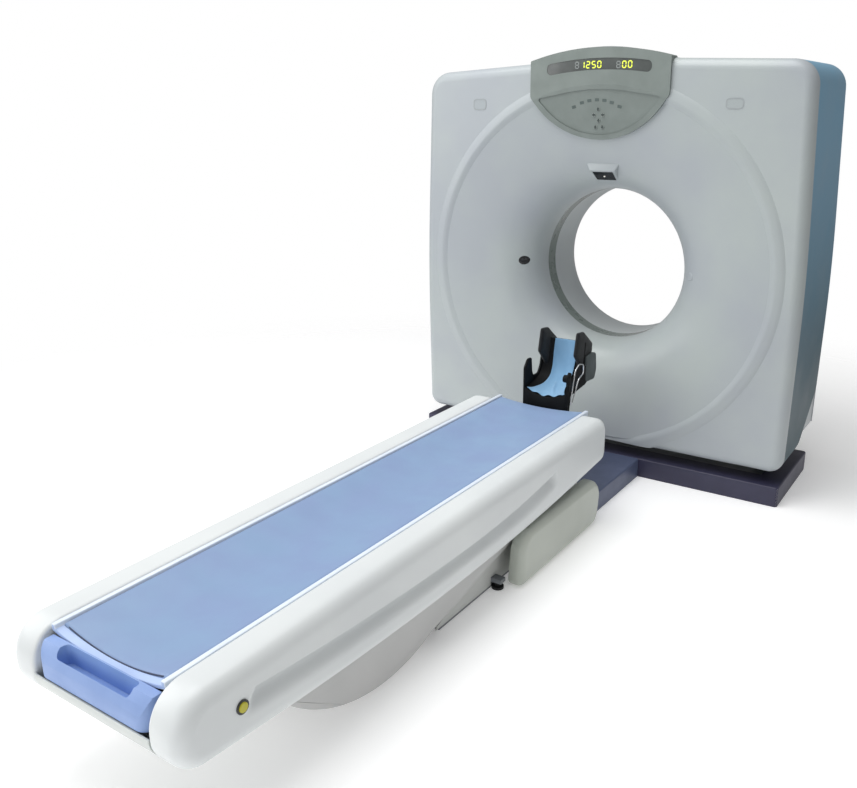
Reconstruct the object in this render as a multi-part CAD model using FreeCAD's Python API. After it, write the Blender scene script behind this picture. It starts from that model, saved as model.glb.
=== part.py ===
import FreeCAD, Part
import math
import os
from FreeCAD import Vector

# CT scanner: a ring gantry that tilts on two stanchions, with a rotor that
# turns inside it, and a patient table on a parallelogram lift. Millimetres.
# X points right for someone facing the gantry, Y runs from the table into the
# bore, Z is up. The origin is on the floor under the centre of the scan plane.
# Gantry pieces are drawn about the isocentre and lifted to its height.

# ---- gantry covers
ISO_HEIGHT = 920.0
BORE_RADIUS = 350.0
COVER_WALL = 4.0
BODY_HALF_WIDTH = 905.0
TOP_HALF_WIDTH = 868.0
BOTTOM_HALF_WIDTH = 897.0
BODY_TOP = 866.0
BODY_BOTTOM = -782.0
TOP_CORNER_RADIUS = 100.0
BOTTOM_CORNER_RADIUS = 60.0
SIDE_BOW_RADIUS = 9000.0
BROW_HALF_WIDTH = 317.0
BROW_FOOT = 891.0
BROW_RISE = 41.0
BROW_BLEND = 90.0
FACE_Y = -304.0
FRONT_RIM_DEPTH = 54.0
FRONT_EDGE_RADIUS = 42.0
SIDE_PANEL_REAR_Y = 240.0
SIDE_PANEL_LAP_X = 770.0
SIDE_PANEL_BOTTOM = -770.0
SIDE_TAPER_TOP = -540.0
SIDE_TAPER_FRONT_Y = -40.0
BACK_Y = 390.0
BACK_INSET = 62.0
BACK_EDGE_RADIUS = 30.0
BACK_BOTTOM = -700.0
BACK_BROW_RISE = 6.0

# ---- dish and bore
DISH_RADIUS = 797.0
DISH_EDGE_SLOPE = 8.0
DISH_EDGE_REACH = 330.0
DISH_THROAT_REACH = 153.0
WINDOW_HALF_WIDTH = 37.0
WINDOW_THICKNESS = 6.0
THROAT_REAR_Y = 225.0
REAR_DISH_RADIUS = 560.0
REAR_DISH_REACH = 90.0

# ---- console over the bore
CONSOLE_PROUD = 12.0
CONSOLE_SIDE_FOOT = 749.0
CONSOLE_BOTTOM = 596.0
CONSOLE_TOP_LAP = 8.0
CONSOLE_CORNER_RADIUS = 26.0
KEYPAD_DROP = 5.0
KEYPAD_MARGIN = 15.0
LEDGE_END = 749.0
LEDGE_MIDDLE = 770.0
DISPLAY_HALF_LENGTH = 237.0
DISPLAY_MIDDLE = 876.0
DISPLAY_SAG = 17.0
DISPLAY_HALF_HEIGHT = 23.0
DISPLAY_RECESS = 5.0
DISPLAY_GLASS = 3.0
KEY_RADIUS = 8.5
KEY_PROUD = 1.8
KEY_REACH = 4.0
KEY_CLEARANCE = 0.4
KEY_PLACES = {
    "key_up": (0.0, 698.0),
    "key_left": (-21.0, 674.0),
    "key_right": (21.0, 674.0),
    "key_down": (0.0, 651.0),
    "key_lower_left": (-16.0, 624.0),
    "key_lower_right": (16.0, 624.0),
}

# ---- alignment light windows
LIGHT_RADIUS = 412.0
LIGHT_TOP_HALF_WIDTH = 32.0
LIGHT_TOP_HEIGHT = 26.0
LIGHT_SIDE_RADIUS = 15.0
LIGHT_SINK = 2.0

# ---- rotor
ROTOR_INNER_RADIUS = 372.0
ROTOR_RADIUS = 652.0
ROTOR_PLATE_Y = 95.0
ROTOR_PLATE = 24.0
ROTOR_RIM_DEPTH = 42.0
ROTOR_RIM_WALL = 12.0
ROTOR_HUB_WALL = 18.0
ROTOR_HUB_END_Y = 172.0
LIGHTENING_COUNT = 12
LIGHTENING_RADIUS = 32.0
LIGHTENING_PLACE = 610.0
FOCUS_HEIGHT = 552.0
TUBE_RADIUS = 84.0
TUBE_FRONT_Y = -125.0
TUBE_FLANGE = 14.0
DETECTOR_INNER = 952.0
DETECTOR_DEPTH = 45.0
DETECTOR_HALF_ANGLE = 23.0
DETECTOR_HALF_WIDTH = 35.0
DATA_BOX_DEPTH = 88.0
SIDE_BOX_IN = 432.0
SIDE_BOX_OUT = 600.0
SIDE_BOX_HALF_HEIGHT = 140.0
SIDE_BOX_FRONT_Y = -100.0
FIN_COUNT = 9
FIN_DEPTH = 22.0
COLLIMATOR_BOTTOM = 396.0
COLLIMATOR_HALF_WIDTH = 70.0
COLLIMATOR_FRONT_Y = -60.0
COUNTERWEIGHT_INNER = 572.0
COUNTERWEIGHT_OUTER = 636.0
COUNTERWEIGHT_HALF_ANGLE = 42.0
COUNTERWEIGHT_DEPTH = 74.0
SLIP_RING_INNER = 450.0
SLIP_RING_OUTER = 560.0
SLIP_RING_DEPTH = 22.0
SLIP_TRACKS = 5
SLIP_GROOVE = 4.0
RUNNING_GAP = 0.5

# ---- tilting frame, stanchions and tilt drive
FRAME_Y = 185.0
FRAME_PLATE = 30.0
FRAME_RADIUS = 688.0
CHEEK_INNER_X = 668.0
CHEEK_HALF_HEIGHT = 150.0
CHEEK_FRONT_Y = -90.0
RACE_WALL = 26.0
TRUNNION_RADIUS = 45.0
TRUNNION_END_X = 789.0
BEARING_RADIUS = 75.0
BEARING_FIT = 0.06
STANCHION_INNER_X = 715.0
STANCHION_WIDTH = 70.0
STANCHION_HEAD_RADIUS = 105.0
STANCHION_HALF_DEPTH = 45.0
STANCHION_LEAN = 4.4
STANCHION_FOOT_HALF_DEPTH = 85.0
STANCHION_FOOT_HEIGHT = 24.0
STANCHION_SLOT_GAP = 16.0
GEAR_MODULE = 6.0
SECTOR_TEETH_FULL = 100
SECTOR_TEETH = 15
PINION_TEETH = 15
GEAR_BACKLASH = 0.8
GEAR_THICKNESS = 15.0
PRESSURE_ANGLE = 20.0
PINION_SHAFT_RADIUS = 12.0
TILT_MOTOR_RADIUS = 55.0
TILT_MOTOR_LENGTH = 74.0
SHAFT_SOCKET = 20.0
SPIN_MOTOR_X = -575.0
SPIN_MOTOR_Z = -575.0
SPIN_MOTOR_RADIUS = 65.0
SPIN_MOTOR_LENGTH = 130.0
PULLEY_RADIUS = 55.0
PULLEY_SHAFT_RADIUS = 14.0
BELT_THICKNESS = 3.0
BELT_MARGIN = 3.0
IDLER_RADIUS = 18.0
IDLER_STUD_RADIUS = 8.0
IDLER_SHARE = 0.06
STAY_HEIGHTS = (-150.0, 400.0)
STAY_HALF_HEIGHT = 30.0

# ---- floor base of the gantry
BASE_HALF_WIDTH = 899.0
BASE_FRONT_Y = -315.0
BASE_REAR_Y = 195.0
BASE_HEIGHT = 87.0
BASE_FRONT_BEAM = 115.0
BASE_SIDE_BEAM = 99.0
BASE_REAR_BEAM = 40.0
BASE_CORNER_RADIUS = 14.0
FLOOR_PLATE_HEIGHT = 45.0
ANCHOR_X = 640.0
ANCHOR_FRONT_Y = -150.0
ANCHOR_REAR_Y = 120.0
ANCHOR_RADIUS = 9.0
BRIDGE_HALF_WIDTH = 280.0
BRIDGE_END_Y = -850.0

# ---- table base
TABLE_BASE_HALF_WIDTH = 223.0
TABLE_BASE_FOOT_Y = -1850.0
TABLE_BASE_PLATE = 12.0
PANEL_WALL = 4.0
PANEL_HALF_WIDTH = 227.0
PANEL_NOSE_Y = -1873.0
PANEL_TOP = 178.0
PANEL_TOP_Y = -1390.0
SIDE_COVER_OUTER_X = 326.0
SIDE_COVER_INNER_X = 271.0
SIDE_COVER_FOOT_Y = -1493.0
SIDE_COVER_TOP = 198.0
SIDE_COVER_RADIUS = 78.0
SIDE_COVER_BULGE = 14.0
TABLE_ANCHOR_X = 190.0
TABLE_ANCHOR_FOOT_Y = -1780.0
TABLE_ANCHOR_HEAD_Y = -1640.0
FOOT_RADIUS = 22.0
FOOT_HEIGHT = 25.0

# ---- lift linkage
LIFT_PIVOT_Y = -1010.0
LIFT_PIVOT_Z = 205.0
LIFT_LENGTH = 1100.0
LIFT_REST_ANGLE = 5.0
LIFT_LINK_DROP = 100.0
ARM_INNER_X = 128.0
ARM_WIDTH = 20.0
ARM_HALF_HEIGHT = 40.0
ARM_EYE_RADIUS = 44.0
TOWER_GAP = 4.0
TOWER_WALL = 16.0
LIFT_PIN_RADIUS = 22.0
LINK_HALF_WIDTH = 40.0
LINK_EYE_RADIUS = 24.0
LINK_PIN_RADIUS = 12.0
PIN_FIT = 0.06
OPEN_PIVOT_GAP = 1.0
RAM_PIVOT_Y = -1200.0
RAM_PIVOT_Z = 50.0
RAM_REACH = 500.0
RAM_OFFSET = -20.0
RAM_BODY_RADIUS = 26.0
RAM_ROD_RADIUS = 15.0
RAM_BODY_LENGTH = 225.0
RAM_PIN_RADIUS = 10.0
RAM_OPEN_GAP = 5.0
RAM_X = 84.0

# ---- table top
RAIL_INNER_X = 215.0
RAIL_OUTER_X = 318.0
RAIL_BOTTOM = 205.0
RAIL_TOP = 431.0
RAIL_FOOT_Y = -2957.0
RAIL_HEAD_Y = -766.0
RAIL_END_RADIUS = 88.0
RAIL_EDGE_RADIUS = 42.0
RAIL_WALL = 4.0
GROOVE_FOOT_Y = -2748.0
GROOVE_HEAD_Y = -1212.0
GROOVE_BOTTOM = 246.0
GROOVE_TOP = 345.0
GROOVE_DEPTH = 14.0
BUTTON_Y = -2768.0
BUTTON_Z = 336.0
BUTTON_RADIUS = 12.5
BUTTON_RING_RADIUS = 18.0
BUTTON_PROUD = 4.0
BUTTON_LENGTH = 22.0
BUTTON_TRAVEL = 3.0
BUTTON_FIT = 0.5
BEAM_INNER_X = 175.0
BEAM_OUTER_X = 205.0
BEAM_BOTTOM = 225.0
BEAM_TOP = 372.0
BEAM_FOOT_Y = -2870.0
BEAM_HEAD_Y = -800.0
STRIP_TOP = 384.0
BRACKET_LENGTH = 60.0
BRACKET_BOTTOM = 300.0
BRACKET_TOP = 345.0
SKIRT_HALF_WIDTH = 256.0
SKIRT_WALL = 4.0
SKIRT_TOP = 196.0
SKIRT_FOOT_Y = -2612.0
SKIRT_HEAD_Y = -1250.0
SKIRT_LOW_Y = -2085.0
SKIRT_LOW_Z = 7.0
SKIRT_CLOSED_END_Y = -1905.0
HANDLE_HALF_WIDTH = 205.0
HANDLE_FOOT_Y = -2952.0
HANDLE_HEAD_Y = -2870.0
HANDLE_BOTTOM = 276.0
HANDLE_RADIUS = 46.0
HANDLE_CLEARANCE = 3.0
POCKET_HALF_WIDTH = 138.0
POCKET_BOTTOM = 318.0
POCKET_TOP = 354.0
POCKET_DEPTH = 48.0

# ---- cradle
CRADLE_HALF_WIDTH = 211.0
CRADLE_FOOT_Y = -2903.0
CRADLE_HEAD_Y = -735.0
CRADLE_EDGE_TOP = 421.0
CRADLE_SAG = 30.0
CRADLE_SHELL = 12.0
PAD_HALF_WIDTH = 194.0
PAD_EDGE_TOP = 427.0
PAD_THICKNESS = 18.0
PAD_FOOT_Y = -2863.0
PAD_HEAD_Y = -748.0
PAD_CORNER_RADIUS = 12.0
HOLDER_HALF_WIDTH = 98.0
HOLDER_WALL = 9.0
HOLDER_BOTTOM = 382.0
HOLDER_FAR_Y = -532.0
HOLDER_BACK_TOP = 655.0
WING_TOP = 722.0
WING_THICKNESS = 24.0
CLOTH_HALF_WIDTH = 58.0
CLOTH_THICKNESS = 4.0
CLAMP_Y = -617.0
CLAMP_Z = 478.0
CLAMP_WIRE = 3.5
CLAMP_HALF_LENGTH = 20.0
CLAMP_RISE = 60.0
CLAMP_DROP = 30.0
CLAMP_SHAFT_RADIUS = 6.0
CLAMP_KNOB_RADIUS = 15.0
CLAMP_KNOB_LENGTH = 17.0

OUT_DIR = "parts"
BIG = 4000.0


# ---- small geometry helpers
def at_y(y):
    """Places a flat (x, z) point at depth y."""
    return lambda a, b: Vector(a, y, b)


def at_x(x):
    """Places a flat (y, z) point at station x."""
    return lambda a, b: Vector(x, a, b)


def at_z(z):
    """Places a flat (x, y) point at height z."""
    return lambda a, b: Vector(a, b, z)


def rounded_wire(corners, place):
    """Closed wire through corners (a, b, radius), each rounded by its radius."""
    starts, middles, ends = [], [], []
    count = len(corners)
    for index, (a, b, radius) in enumerate(corners):
        here = Vector(a, b, 0)
        before = Vector(corners[index - 1][0], corners[index - 1][1], 0) - here
        after = Vector(corners[(index + 1) % count][0], corners[(index + 1) % count][1], 0) - here
        before.normalize()
        after.normalize()
        if radius <= 0:
            starts.append(here)
            middles.append(None)
            ends.append(here)
            continue
        half = before.getAngle(after) / 2
        bisector = before + after
        bisector.normalize()
        centre = here + bisector * (radius / math.sin(half))
        starts.append(here + before * (radius / math.tan(half)))
        middles.append(centre - bisector * radius)
        ends.append(here + after * (radius / math.tan(half)))
    edges = []
    for index in range(count):
        start, middle, end = starts[index], middles[index], ends[index]
        if middle is not None:
            arc = Part.Arc(place(start.x, start.y), place(middle.x, middle.y), place(end.x, end.y))
            edges.append(arc.toShape())
        following = starts[(index + 1) % count]
        if end.distanceToPoint(following) > 1e-6:
            edges.append(Part.makeLine(place(end.x, end.y), place(following.x, following.y)))
    return Part.Wire(edges)


def plain(points):
    """Corners with no rounding."""
    return [(a, b, 0.0) for a, b in points]


def prism_y(corners, y0, y1):
    """Solid with a rounded (x, z) outline between two depths."""
    return Part.Face(rounded_wire(corners, at_y(y0))).extrude(Vector(0, y1 - y0, 0))


def prism_x(corners, x0, x1):
    """Solid with a rounded (y, z) outline between two stations."""
    return Part.Face(rounded_wire(corners, at_x(x0))).extrude(Vector(x1 - x0, 0, 0))


def prism_z(corners, z0, z1):
    """Solid with a rounded (x, y) outline between two heights."""
    return Part.Face(rounded_wire(corners, at_z(z0))).extrude(Vector(0, 0, z1 - z0))


def rectangle(a0, b0, a1, b1, radius=0.0):
    """Corners of a rectangle with one corner radius."""
    return [(a0, b0, radius), (a1, b0, radius), (a1, b1, radius), (a0, b1, radius)]


def box(x0, y0, z0, x1, y1, z1):
    """Block between two opposite corners."""
    return Part.makeBox(x1 - x0, y1 - y0, z1 - z0, Vector(x0, y0, z0))


def rod_x(y, z, radius, x0, x1):
    """Round bar along X."""
    return Part.makeCylinder(radius, x1 - x0, Vector(x0, y, z), Vector(1, 0, 0))


def rod_y(x, z, radius, y0, y1):
    """Round bar along Y."""
    return Part.makeCylinder(radius, y1 - y0, Vector(x, y0, z), Vector(0, 1, 0))


def rod_z(x, y, radius, z0, z1):
    """Round bar along Z."""
    return Part.makeCylinder(radius, z1 - z0, Vector(x, y, z0), Vector(0, 0, 1))


def ring_y(inner, outer, y0, y1):
    """Flat ring about the bore axis."""
    return rod_y(0, 0, outer, y0, y1).cut(rod_y(0, 0, inner, y0 - 1, y1 + 1))


def tube_x(y, z, inner, outer, x0, x1):
    """Bush along X."""
    return rod_x(y, z, outer, x0, x1).cut(rod_x(y, z, inner, x0 - 1, x1 + 1))


def mirrored(shape):
    """The same piece on the other side of the centre plane."""
    return shape.mirror(Vector(0, 0, 0), Vector(1, 0, 0))


def fused(shapes):
    """One solid from overlapping ones."""
    first = shapes[0]
    return first.fuse(shapes[1:]).removeSplitter() if len(shapes) > 1 else first


def revolved(edges):
    """Solid of revolution about the bore axis of a closed profile in (radius, y)."""
    return Part.Face(Part.Wire(edges)).revolve(Vector(0, 0, 0), Vector(0, 1, 0), 360)


def line2(start, end):
    """Straight profile edge between two (radius, y) points."""
    return Part.makeLine(Vector(start[0], start[1], 0), Vector(end[0], end[1], 0))


def bezier(poles):
    """Smooth profile edge with four (radius, y) poles."""
    curve = Part.BezierCurve()
    curve.setPoles([Vector(r, y, 0) for r, y in poles])
    return curve.toShape()


def save(name, shape, height=0.0):
    """Writes one piece to its own file, lifted by height."""
    moved = shape.copy()
    moved.translate(Vector(0, 0, height))
    moved.exportStep(os.path.join(OUT_DIR, name + ".step"))


def save_gantry(name, shape):
    """Writes a piece that was drawn about the isocentre."""
    save(name, shape, ISO_HEIGHT)


# ---- gantry body
COVER_JOIN_Y = FACE_Y + FRONT_RIM_DEPTH


def arch_apex(half_width, foot, rise):
    """Tangent point and radius of an arch over a chord at height foot."""
    radius = (half_width ** 2 + rise ** 2) / (2 * rise)
    slope = math.asin(half_width / radius)
    return foot + half_width * math.tan(slope), radius


def body_outline(inset=0.0, rise=BROW_RISE):
    """Gantry outline as rounded corners, pulled in by inset."""
    apex, arch_radius = arch_apex(BROW_HALF_WIDTH, BROW_FOOT, rise)
    right = [
        (BOTTOM_HALF_WIDTH - inset, BODY_BOTTOM + inset, max(BOTTOM_CORNER_RADIUS - inset, 8.0)),
        (BODY_HALF_WIDTH - inset, 0.0, SIDE_BOW_RADIUS - inset),
        (TOP_HALF_WIDTH - inset, BODY_TOP - inset, TOP_CORNER_RADIUS - inset),
        (BROW_HALF_WIDTH, BROW_FOOT - inset, BROW_BLEND + inset),
    ]
    left = [(-x, z, radius) for x, z, radius in reversed(right)]
    return right + [(0.0, apex - inset, (arch_radius - inset) * 0.6)] + left


def front_block(inset, y_front, y_back):
    """Front cover block with its rounded front edge."""
    block = prism_y(body_outline(inset), y_front, y_back)
    front = [edge for edge in block.Edges if abs(edge.BoundBox.YMax - y_front) < 1e-6]
    return block.makeFillet(FRONT_EDGE_RADIUS - inset, front)


def dish_curve(grow):
    """Trumpet profile of the dish, grown into the cover by grow."""
    rise = DISH_EDGE_REACH * math.tan(math.radians(DISH_EDGE_SLOPE))
    return [
        (BORE_RADIUS + grow, -WINDOW_HALF_WIDTH),
        (BORE_RADIUS + grow, -WINDOW_HALF_WIDTH - DISH_THROAT_REACH + 0.4 * grow),
        (DISH_RADIUS - DISH_EDGE_REACH, FACE_Y + rise + grow),
        (DISH_RADIUS, FACE_Y + grow),
    ]


def dish_skin(grow_front, grow_back):
    """Skin of revolution between two grown dish profiles."""
    front, back = dish_curve(grow_front), dish_curve(grow_back)
    return revolved([bezier(front), line2(front[3], back[3]), bezier(back), line2(back[0], front[0])])


def dish_void():
    """Everything in front of the dish surface."""
    curve = dish_curve(0.0)
    far = FACE_Y - 60.0
    return revolved([
        bezier(curve), line2(curve[3], (DISH_RADIUS, far)), line2((DISH_RADIUS, far), (0, far)),
        line2((0, far), (0, curve[0][1])), line2((0, curve[0][1]), curve[0])])


def dish_depth(radius):
    """Depth y of the dish surface at a radius, by bisection along its curve."""
    poles = dish_curve(0.0)
    low, high = 0.0, 1.0
    for _ in range(40):
        t = (low + high) / 2
        weights = ((1 - t) ** 3, 3 * t * (1 - t) ** 2, 3 * t * t * (1 - t), t ** 3)
        r = sum(w * pole[0] for w, pole in zip(weights, poles))
        low, high = (t, high) if r < radius else (low, t)
    return sum(w * pole[1] for w, pole in zip(weights, poles))


def stanchion_slots(y0, y1, z1):
    """Blocks at the stanchions, for the openings that they pass through."""
    x0 = STANCHION_INNER_X - STANCHION_SLOT_GAP
    x1 = STANCHION_INNER_X + STANCHION_WIDTH + STANCHION_SLOT_GAP
    slot = box(x0, y0, BODY_BOTTOM - 20, x1, y1, z1)
    return [slot, mirrored(slot)]


def light_cutters(grow):
    """Pockets of the three alignment lights in the dish: one on top, one each side."""
    depth = dish_depth(LIGHT_RADIUS)
    top = box(-LIGHT_TOP_HALF_WIDTH - grow, depth - 40, LIGHT_RADIUS - grow,
              LIGHT_TOP_HALF_WIDTH + grow, depth + 30, LIGHT_RADIUS + LIGHT_TOP_HEIGHT + grow)
    side = rod_y(LIGHT_RADIUS, 0, LIGHT_SIDE_RADIUS + grow, depth - 40, depth + 45)
    return [top, side, mirrored(side)]


def make_front_cover():
    """Moulded front cover: face, rolled rim and the dish down to the bore."""
    outer = front_block(0.0, FACE_Y, COVER_JOIN_Y)
    inner = front_block(COVER_WALL, FACE_Y + COVER_WALL, COVER_JOIN_Y + 10)
    shell = outer.cut(inner).cut(dish_void())
    deep_block = front_block(0.0, FACE_Y, -WINDOW_HALF_WIDTH + 5)
    funnel = dish_skin(0.0, COVER_WALL).common(deep_block)
    cover = shell.fuse(funnel)
    cover = cover.cut(stanchion_slots(FACE_Y + 19, COVER_JOIN_Y + 5, BODY_BOTTOM + 60))
    return cover.cut(light_cutters(0.0)).removeSplitter()


def body_loft(inset, y_front, y_back):
    """Body behind the front cover, tapering in behind the side panels."""
    sections = [
        rounded_wire(body_outline(inset), at_y(y_front)),
        rounded_wire(body_outline(inset, BACK_BROW_RISE), at_y(SIDE_PANEL_REAR_Y)),
        rounded_wire(body_outline(inset + BACK_INSET, BACK_BROW_RISE), at_y(y_back)),
    ]
    return Part.makeLoft(sections, True, True)


def side_panel_zone(y_back):
    """Side region of the body that the right side panel covers."""
    lap = SIDE_PANEL_LAP_X
    front = COVER_JOIN_Y
    corners = [
        (front, SIDE_PANEL_BOTTOM, 0), (SIDE_TAPER_FRONT_Y, SIDE_PANEL_BOTTOM, 60.0),
        (y_back, SIDE_TAPER_TOP, 90.0), (y_back, BODY_TOP + 40, 0), (front, BODY_TOP + 40, 0)]
    return prism_x(corners, lap, BIG / 2)


def make_side_cover():
    """Right side panel: wraps over the top corner and tapers up at its lower rear."""
    skin = body_loft(0.0, COVER_JOIN_Y, BACK_Y).cut(body_loft(COVER_WALL, COVER_JOIN_Y - 10, BACK_Y - COVER_WALL))
    return skin.common(side_panel_zone(SIDE_PANEL_REAR_Y)).removeSplitter()


def rear_dish_curve(grow):
    """Profile of the rear opening, from the throat out to the back face."""
    return [
        (BORE_RADIUS + grow, THROAT_REAR_Y),
        (BORE_RADIUS + grow, THROAT_REAR_Y + REAR_DISH_REACH - 0.4 * grow),
        (REAR_DISH_RADIUS - REAR_DISH_REACH, BACK_Y - 8.0 - grow),
        (REAR_DISH_RADIUS, BACK_Y - grow),
    ]


def make_rear_cover():
    """Rear cover: back face with its own dish, the throat of the bore and the top."""
    outer = body_loft(0.0, COVER_JOIN_Y, BACK_Y)
    inner = body_loft(COVER_WALL, COVER_JOIN_Y - 10, BACK_Y - COVER_WALL)
    skin = outer.cut(inner)
    open_bottom = prism_x(plain([
        (COVER_JOIN_Y - 10, BODY_BOTTOM - 40), (BACK_Y + 10, BODY_BOTTOM - 40), (BACK_Y + 10, BACK_BOTTOM),
        (COVER_JOIN_Y - 10, BACK_BOTTOM)]), -BIG / 2, BIG / 2)
    sides = box(SIDE_PANEL_LAP_X, COVER_JOIN_Y - 20, BODY_BOTTOM - 40, BIG / 2, SIDE_PANEL_REAR_Y, BODY_TOP + 80)
    skin = skin.cut([open_bottom, sides, mirrored(sides)])
    lower = outer.common(body_loft(COVER_WALL, COVER_JOIN_Y - 10, BACK_Y)).cut(
        body_loft(2 * COVER_WALL, COVER_JOIN_Y - 20, BACK_Y + 1))
    return_zone = box(SIDE_PANEL_LAP_X, SIDE_TAPER_FRONT_Y, BACK_BOTTOM,
                      BIG / 2, SIDE_PANEL_REAR_Y + 30, SIDE_TAPER_TOP + 60)
    returns = [lower.common(return_zone), lower.common(mirrored(return_zone))]
    front, back = rear_dish_curve(0.0), rear_dish_curve(COVER_WALL)
    far = BACK_Y + 20
    void = revolved([
        bezier(front), line2(front[3], (REAR_DISH_RADIUS, far)), line2((REAR_DISH_RADIUS, far), (0, far)),
        line2((0, far), (0, THROAT_REAR_Y)), line2((0, THROAT_REAR_Y), front[0])])
    funnel = revolved([bezier(front), line2(front[3], back[3]), bezier(back), line2(back[0], front[0])])
    throat = ring_y(BORE_RADIUS, BORE_RADIUS + COVER_WALL, WINDOW_HALF_WIDTH, THROAT_REAR_Y)
    return fused([skin.cut(void)] + returns + [funnel, throat])


def make_bore_window():
    """Thin ring that the X-rays pass through, between the front and rear throats."""
    return ring_y(BORE_RADIUS, BORE_RADIUS + WINDOW_THICKNESS, -WINDOW_HALF_WIDTH, WINDOW_HALF_WIDTH)


def make_light_windows():
    """Dark windows of the three alignment lights, sunk a little into the dish."""
    skin = dish_skin(LIGHT_SINK, LIGHT_SINK + COVER_WALL)
    return Part.makeCompound([cutter.common(skin) for cutter in light_cutters(0.0)])


# ---- console
def console_outline():
    """Console outline: straight sides, a bowl below and the brow arch on top."""
    apex, arch_radius = arch_apex(BROW_HALF_WIDTH, BROW_FOOT + CONSOLE_TOP_LAP, BROW_RISE)
    drop = CONSOLE_SIDE_FOOT - CONSOLE_BOTTOM
    bowl_apex, bowl_radius = arch_apex(BROW_HALF_WIDTH, 0.0, drop)
    right = [
        (BROW_HALF_WIDTH, CONSOLE_SIDE_FOOT, CONSOLE_CORNER_RADIUS),
        (BROW_HALF_WIDTH, BROW_FOOT + CONSOLE_TOP_LAP, 6.0)]
    left = [(-x, z, radius) for x, z, radius in reversed(right)]
    bottom = (0.0, CONSOLE_SIDE_FOOT - bowl_apex, bowl_radius * 0.9)
    return right + [(0.0, apex, arch_radius * 0.9)] + left + [bottom]


def console_skin(front, back):
    """Skin that follows the dish and the flat face over it."""
    near, far = dish_curve(front), dish_curve(back)
    edge = 1100.0
    return revolved([
        bezier(near), line2(near[3], (edge, near[3][1])), line2((edge, near[3][1]), (edge, far[3][1])),
        line2((edge, far[3][1]), far[3]), bezier(far), line2(far[0], near[0])])


def arched_band(grow):
    """Outline of the display window: a gently arched band with round ends."""
    half, middle, sag = DISPLAY_HALF_LENGTH + grow, DISPLAY_MIDDLE, DISPLAY_SAG
    height = DISPLAY_HALF_HEIGHT + grow
    right = [(half, middle - sag - height, height * 0.85), (half, middle - sag + height, height * 0.85)]
    left = [(-x, z, radius) for x, z, radius in reversed(right)]
    bend = 0.88 * DISPLAY_HALF_LENGTH ** 2 / (2 * DISPLAY_SAG)
    return right + [(0, middle + sag + height, bend)] + left + [(0, middle + sag - height, bend)]


def keypad_outline():
    """Sunk keypad field under the ledge."""
    half = BROW_HALF_WIDTH - 2.2 * KEYPAD_MARGIN
    drop = LEDGE_END - KEYPAD_MARGIN - CONSOLE_BOTTOM - KEYPAD_MARGIN
    bowl_apex, bowl_radius = arch_apex(half, 0.0, drop)
    ledge_apex = LEDGE_END + 2 * (LEDGE_MIDDLE - LEDGE_END)
    return [
        (half, LEDGE_END - 6, 8.0), (0.0, ledge_apex, 900.0), (-half, LEDGE_END - 6, 8.0),
        (0.0, LEDGE_END - KEYPAD_MARGIN - bowl_apex, bowl_radius * 0.85)]


def make_console():
    """Console housing over the bore, with the display recess and the key pockets."""
    prism = prism_y(console_outline(), FACE_Y - 40, FACE_Y + 120)
    body = console_skin(-CONSOLE_PROUD, 0.0).common(prism)
    cap = prism_y(console_outline(), FACE_Y - CONSOLE_PROUD, COVER_JOIN_Y)
    cap = cap.cut(prism_y(body_outline(), FACE_Y - 50, COVER_JOIN_Y + 10))
    bridge = prism_y(console_outline(), FACE_Y - CONSOLE_PROUD, FACE_Y)
    bridge = bridge.cut(box(-BIG / 2, FACE_Y - 50, 0, BIG / 2, FACE_Y + 10, DISH_RADIUS + 20))
    shell = fused([body, bridge, cap])
    round_over = front_round_gap(prism)
    shell = shell.fuse(round_over)
    field = console_skin(-CONSOLE_PROUD - 20, -CONSOLE_PROUD + KEYPAD_DROP)
    field = field.common(prism_y(keypad_outline(), FACE_Y - 60, FACE_Y + 120))
    recess = prism_y(arched_band(0.0), FACE_Y - 60, FACE_Y - CONSOLE_PROUD + DISPLAY_RECESS)
    shell = shell.cut([field, recess])
    pockets = [rod_y(x, z, KEY_RADIUS + KEY_CLEARANCE, FACE_Y - 40, FACE_Y + 120) for x, z in KEY_PLACES.values()]
    return shell.cut(pockets).removeSplitter()


def front_round_gap(prism):
    """Fills the space between the cover's rounded top edge and the console's top lap."""
    sharp = prism_y(body_outline(), FACE_Y, COVER_JOIN_Y)
    gap = sharp.cut(front_block(0.0, FACE_Y, COVER_JOIN_Y)).common(prism)
    above = box(-BIG / 2, FACE_Y - 1, BROW_FOOT - 80, BIG / 2, COVER_JOIN_Y, BIG / 2)
    return gap.common(above)


def make_display():
    """Tinted display window in its recess."""
    y1 = FACE_Y - CONSOLE_PROUD + DISPLAY_RECESS
    return prism_y(arched_band(-0.3), y1 - DISPLAY_GLASS, y1)


def make_key(x, z):
    """Round key with a domed cap, in its pocket."""
    face = dish_depth(math.hypot(x, z)) - CONSOLE_PROUD + KEYPAD_DROP
    key = rod_y(x, z, KEY_RADIUS, face - KEY_PROUD, face + KEY_REACH)
    front = [edge for edge in key.Edges if abs(edge.BoundBox.YMax - (face - KEY_PROUD)) < 1e-6]
    return key.makeFillet(0.8, front)


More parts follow.
